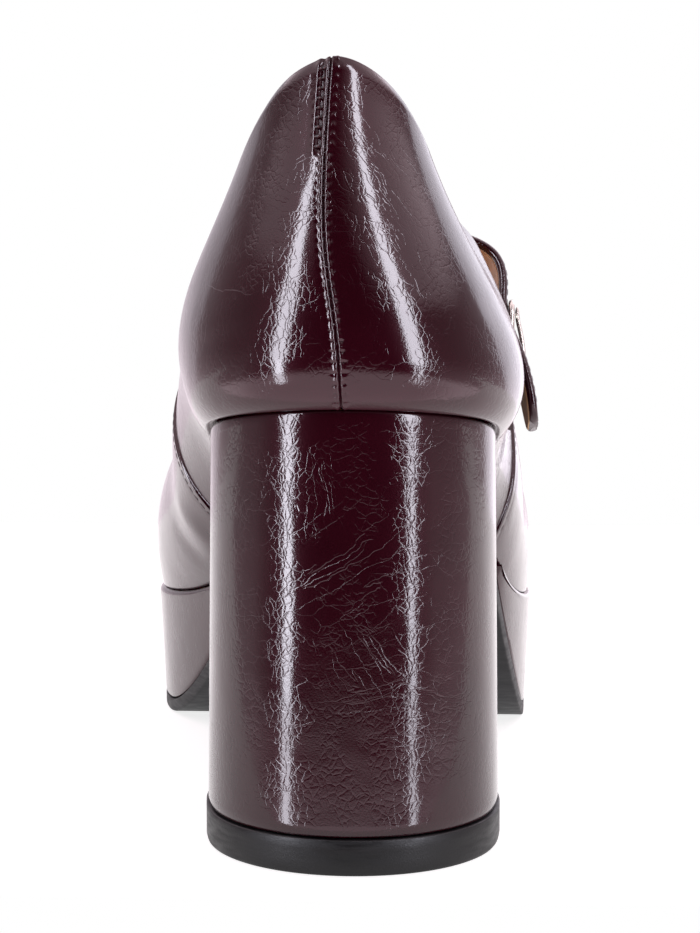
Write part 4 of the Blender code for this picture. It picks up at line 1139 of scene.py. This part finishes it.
# Light
# A white tent, dark towards the camera, bright low down and overhead and dim between, over a glow from below.
# Strip lights beside its opening draw two bright lines in the gloss, and two broad ones ahead whiten the
# rims; they show only in reflections.
Strip = namedtuple("Strip", "turn wide low high power")
STRIPS = [Strip(*row) for row in (
    (-45, 0.22, 0.05, 1.25, 13.5),
    (-45, 0.125, -0.16, 0.05, 1.70),
    (-45, 0.125, -0.45, -0.16, 1.35),
    (43.5, 0.23, 0.05, 1.25, 14),
    (43.5, 0.085, -0.16, 0.05, 0.92),
    (43.5, 0.085, -0.45, -0.16, 0.80),
    (-150, 0.75, -0.10, 1.00, 0.80),
    (150, 0.75, -0.10, 1.00, 3.10),
)]
STRIP_AWAY = 1.1
TENT_LEAN = 0.12
TENT_EDGE = -0.52
TENT_SLANT = 0.45
TENT_BRIGHT = ((-0.15, 0.87), (0.12, 0.35), (0.38, 0.26), (0.48, 1.50))
TABLE_GLOW = 1.60
TENT_TINT = colour("#ffebf3")
STRIP_TINT = colour("#f3f3ff")

world = bpy.data.worlds.new("white_tent")
bpy.context.scene.world = world
world.use_nodes = True
world.node_tree.nodes.clear()
add = partial(node, world.node_tree)
heading = add("TexCoord").outputs["Generated"]
up = add("SeparateXYZ", {0: heading}).outputs["Z"]
flat = add("VectorMath", {0: heading, 1: (1, 1, 0)}, operation="MULTIPLY")
flat = add("VectorMath", {0: flat}, operation="NORMALIZE")
ahead = add("VectorMath", {0: flat, 1: (TENT_LEAN, 1, 0)}, operation="DOT_PRODUCT").outputs["Value"]
reach = add("Math", {0: up, 1: TENT_SLANT, 2: ahead}, operation="MULTIPLY_ADD")
cover = add("MapRange", {"Value": reach, "From Min": TENT_EDGE - 0.2, "From Max": TENT_EDGE + 0.2})
turned = add("MapRange", {"Value": ahead, "From Min": -0.2, "From Max": 0.6, "To Min": 0.85, "To Max": 1.15})
ramp = add("ValToRGB", {"Fac": add("MapRange", {"Value": up, "From Min": -1.0, "From Max": 1.0})})
stops = ramp.color_ramp.elements
stops[0].position, stops[1].position = 0.5 + TENT_BRIGHT[0][0] / 2, 0.5 + TENT_BRIGHT[-1][0] / 2
for place, _ in TENT_BRIGHT[1:-1]:
    stops.new(0.5 + place / 2)
for stop, (_, strength) in zip(stops, TENT_BRIGHT):
    stop.color = (strength, strength, strength, 1.0)
bright = add("Math", {0: turned, 1: ramp}, operation="MULTIPLY")
glow = add("MapRange", {"Value": up, "From Min": -0.30, "From Max": -0.19,
                        "To Min": TABLE_GLOW, "To Max": 0.0})
tent = add("Math", {0: cover, 1: bright, 2: glow}, operation="MULTIPLY_ADD")
seen = add("LightPath").outputs["Is Camera Ray"]
lit = add("Background", {"Color": TENT_TINT, "Strength": tent})
plain = add("Background", {"Color": colour("#ffffff"), "Strength": 1.0})
add("OutputWorld", {"Surface": add("MixShader", {0: seen, 1: lit, 2: plain})})

for number, strip in enumerate(STRIPS):
    lamp = bpy.data.lights.new(f"strip_{number}", "AREA")
    lamp.shape = "RECTANGLE"
    lamp.size, lamp.size_y = strip.wide, strip.high - strip.low
    lamp.energy = strip.power
    lamp.color = STRIP_TINT[:3]
    stand = bpy.data.objects.new(f"strip_{number}", lamp)
    angle = math.radians(strip.turn)
    middle = (strip.low + strip.high) / 2
    stand.location = (STRIP_AWAY * math.sin(angle), -STRIP_AWAY * math.cos(angle), middle)
    stand.rotation_euler = (math.radians(90), 0, angle)
    stand.visible_camera = stand.visible_diffuse = False
    bpy.context.scene.collection.objects.link(stand)

# Camera
# Behind the heel and slightly to the outer side, a little above the collar's middle, as the photo was taken.
CAMERA_AZIMUTH = math.radians(2.835)
CAMERA_PITCH = math.radians(4.156)
CAMERA_AWAY = 289.549 * MM
CAMERA_ASIDE = 0.546 * MM
CAMERA_HEIGHT = 90.982 * MM
FOCAL_PIXELS = 1745.0
IMAGE_TALL = 933.0

lens = bpy.data.cameras.new("camera")
lens.sensor_width = 36.0
lens.lens = lens.sensor_width * FOCAL_PIXELS / IMAGE_TALL
lens.clip_start = 0.01
camera = bpy.data.objects.new("camera", lens)
eye = CAMERA_AWAY * np.array([math.sin(CAMERA_AZIMUTH), -math.cos(CAMERA_AZIMUTH), 0])
eye += (CAMERA_ASIDE, 0, CAMERA_HEIGHT)
camera.location = eye + ORIGIN
camera.rotation_euler = (math.pi / 2 - CAMERA_PITCH, 0, CAMERA_AZIMUTH)
bpy.context.scene.collection.objects.link(camera)
bpy.context.scene.camera = camera
bpy.context.scene.view_settings.view_transform = "Standard"
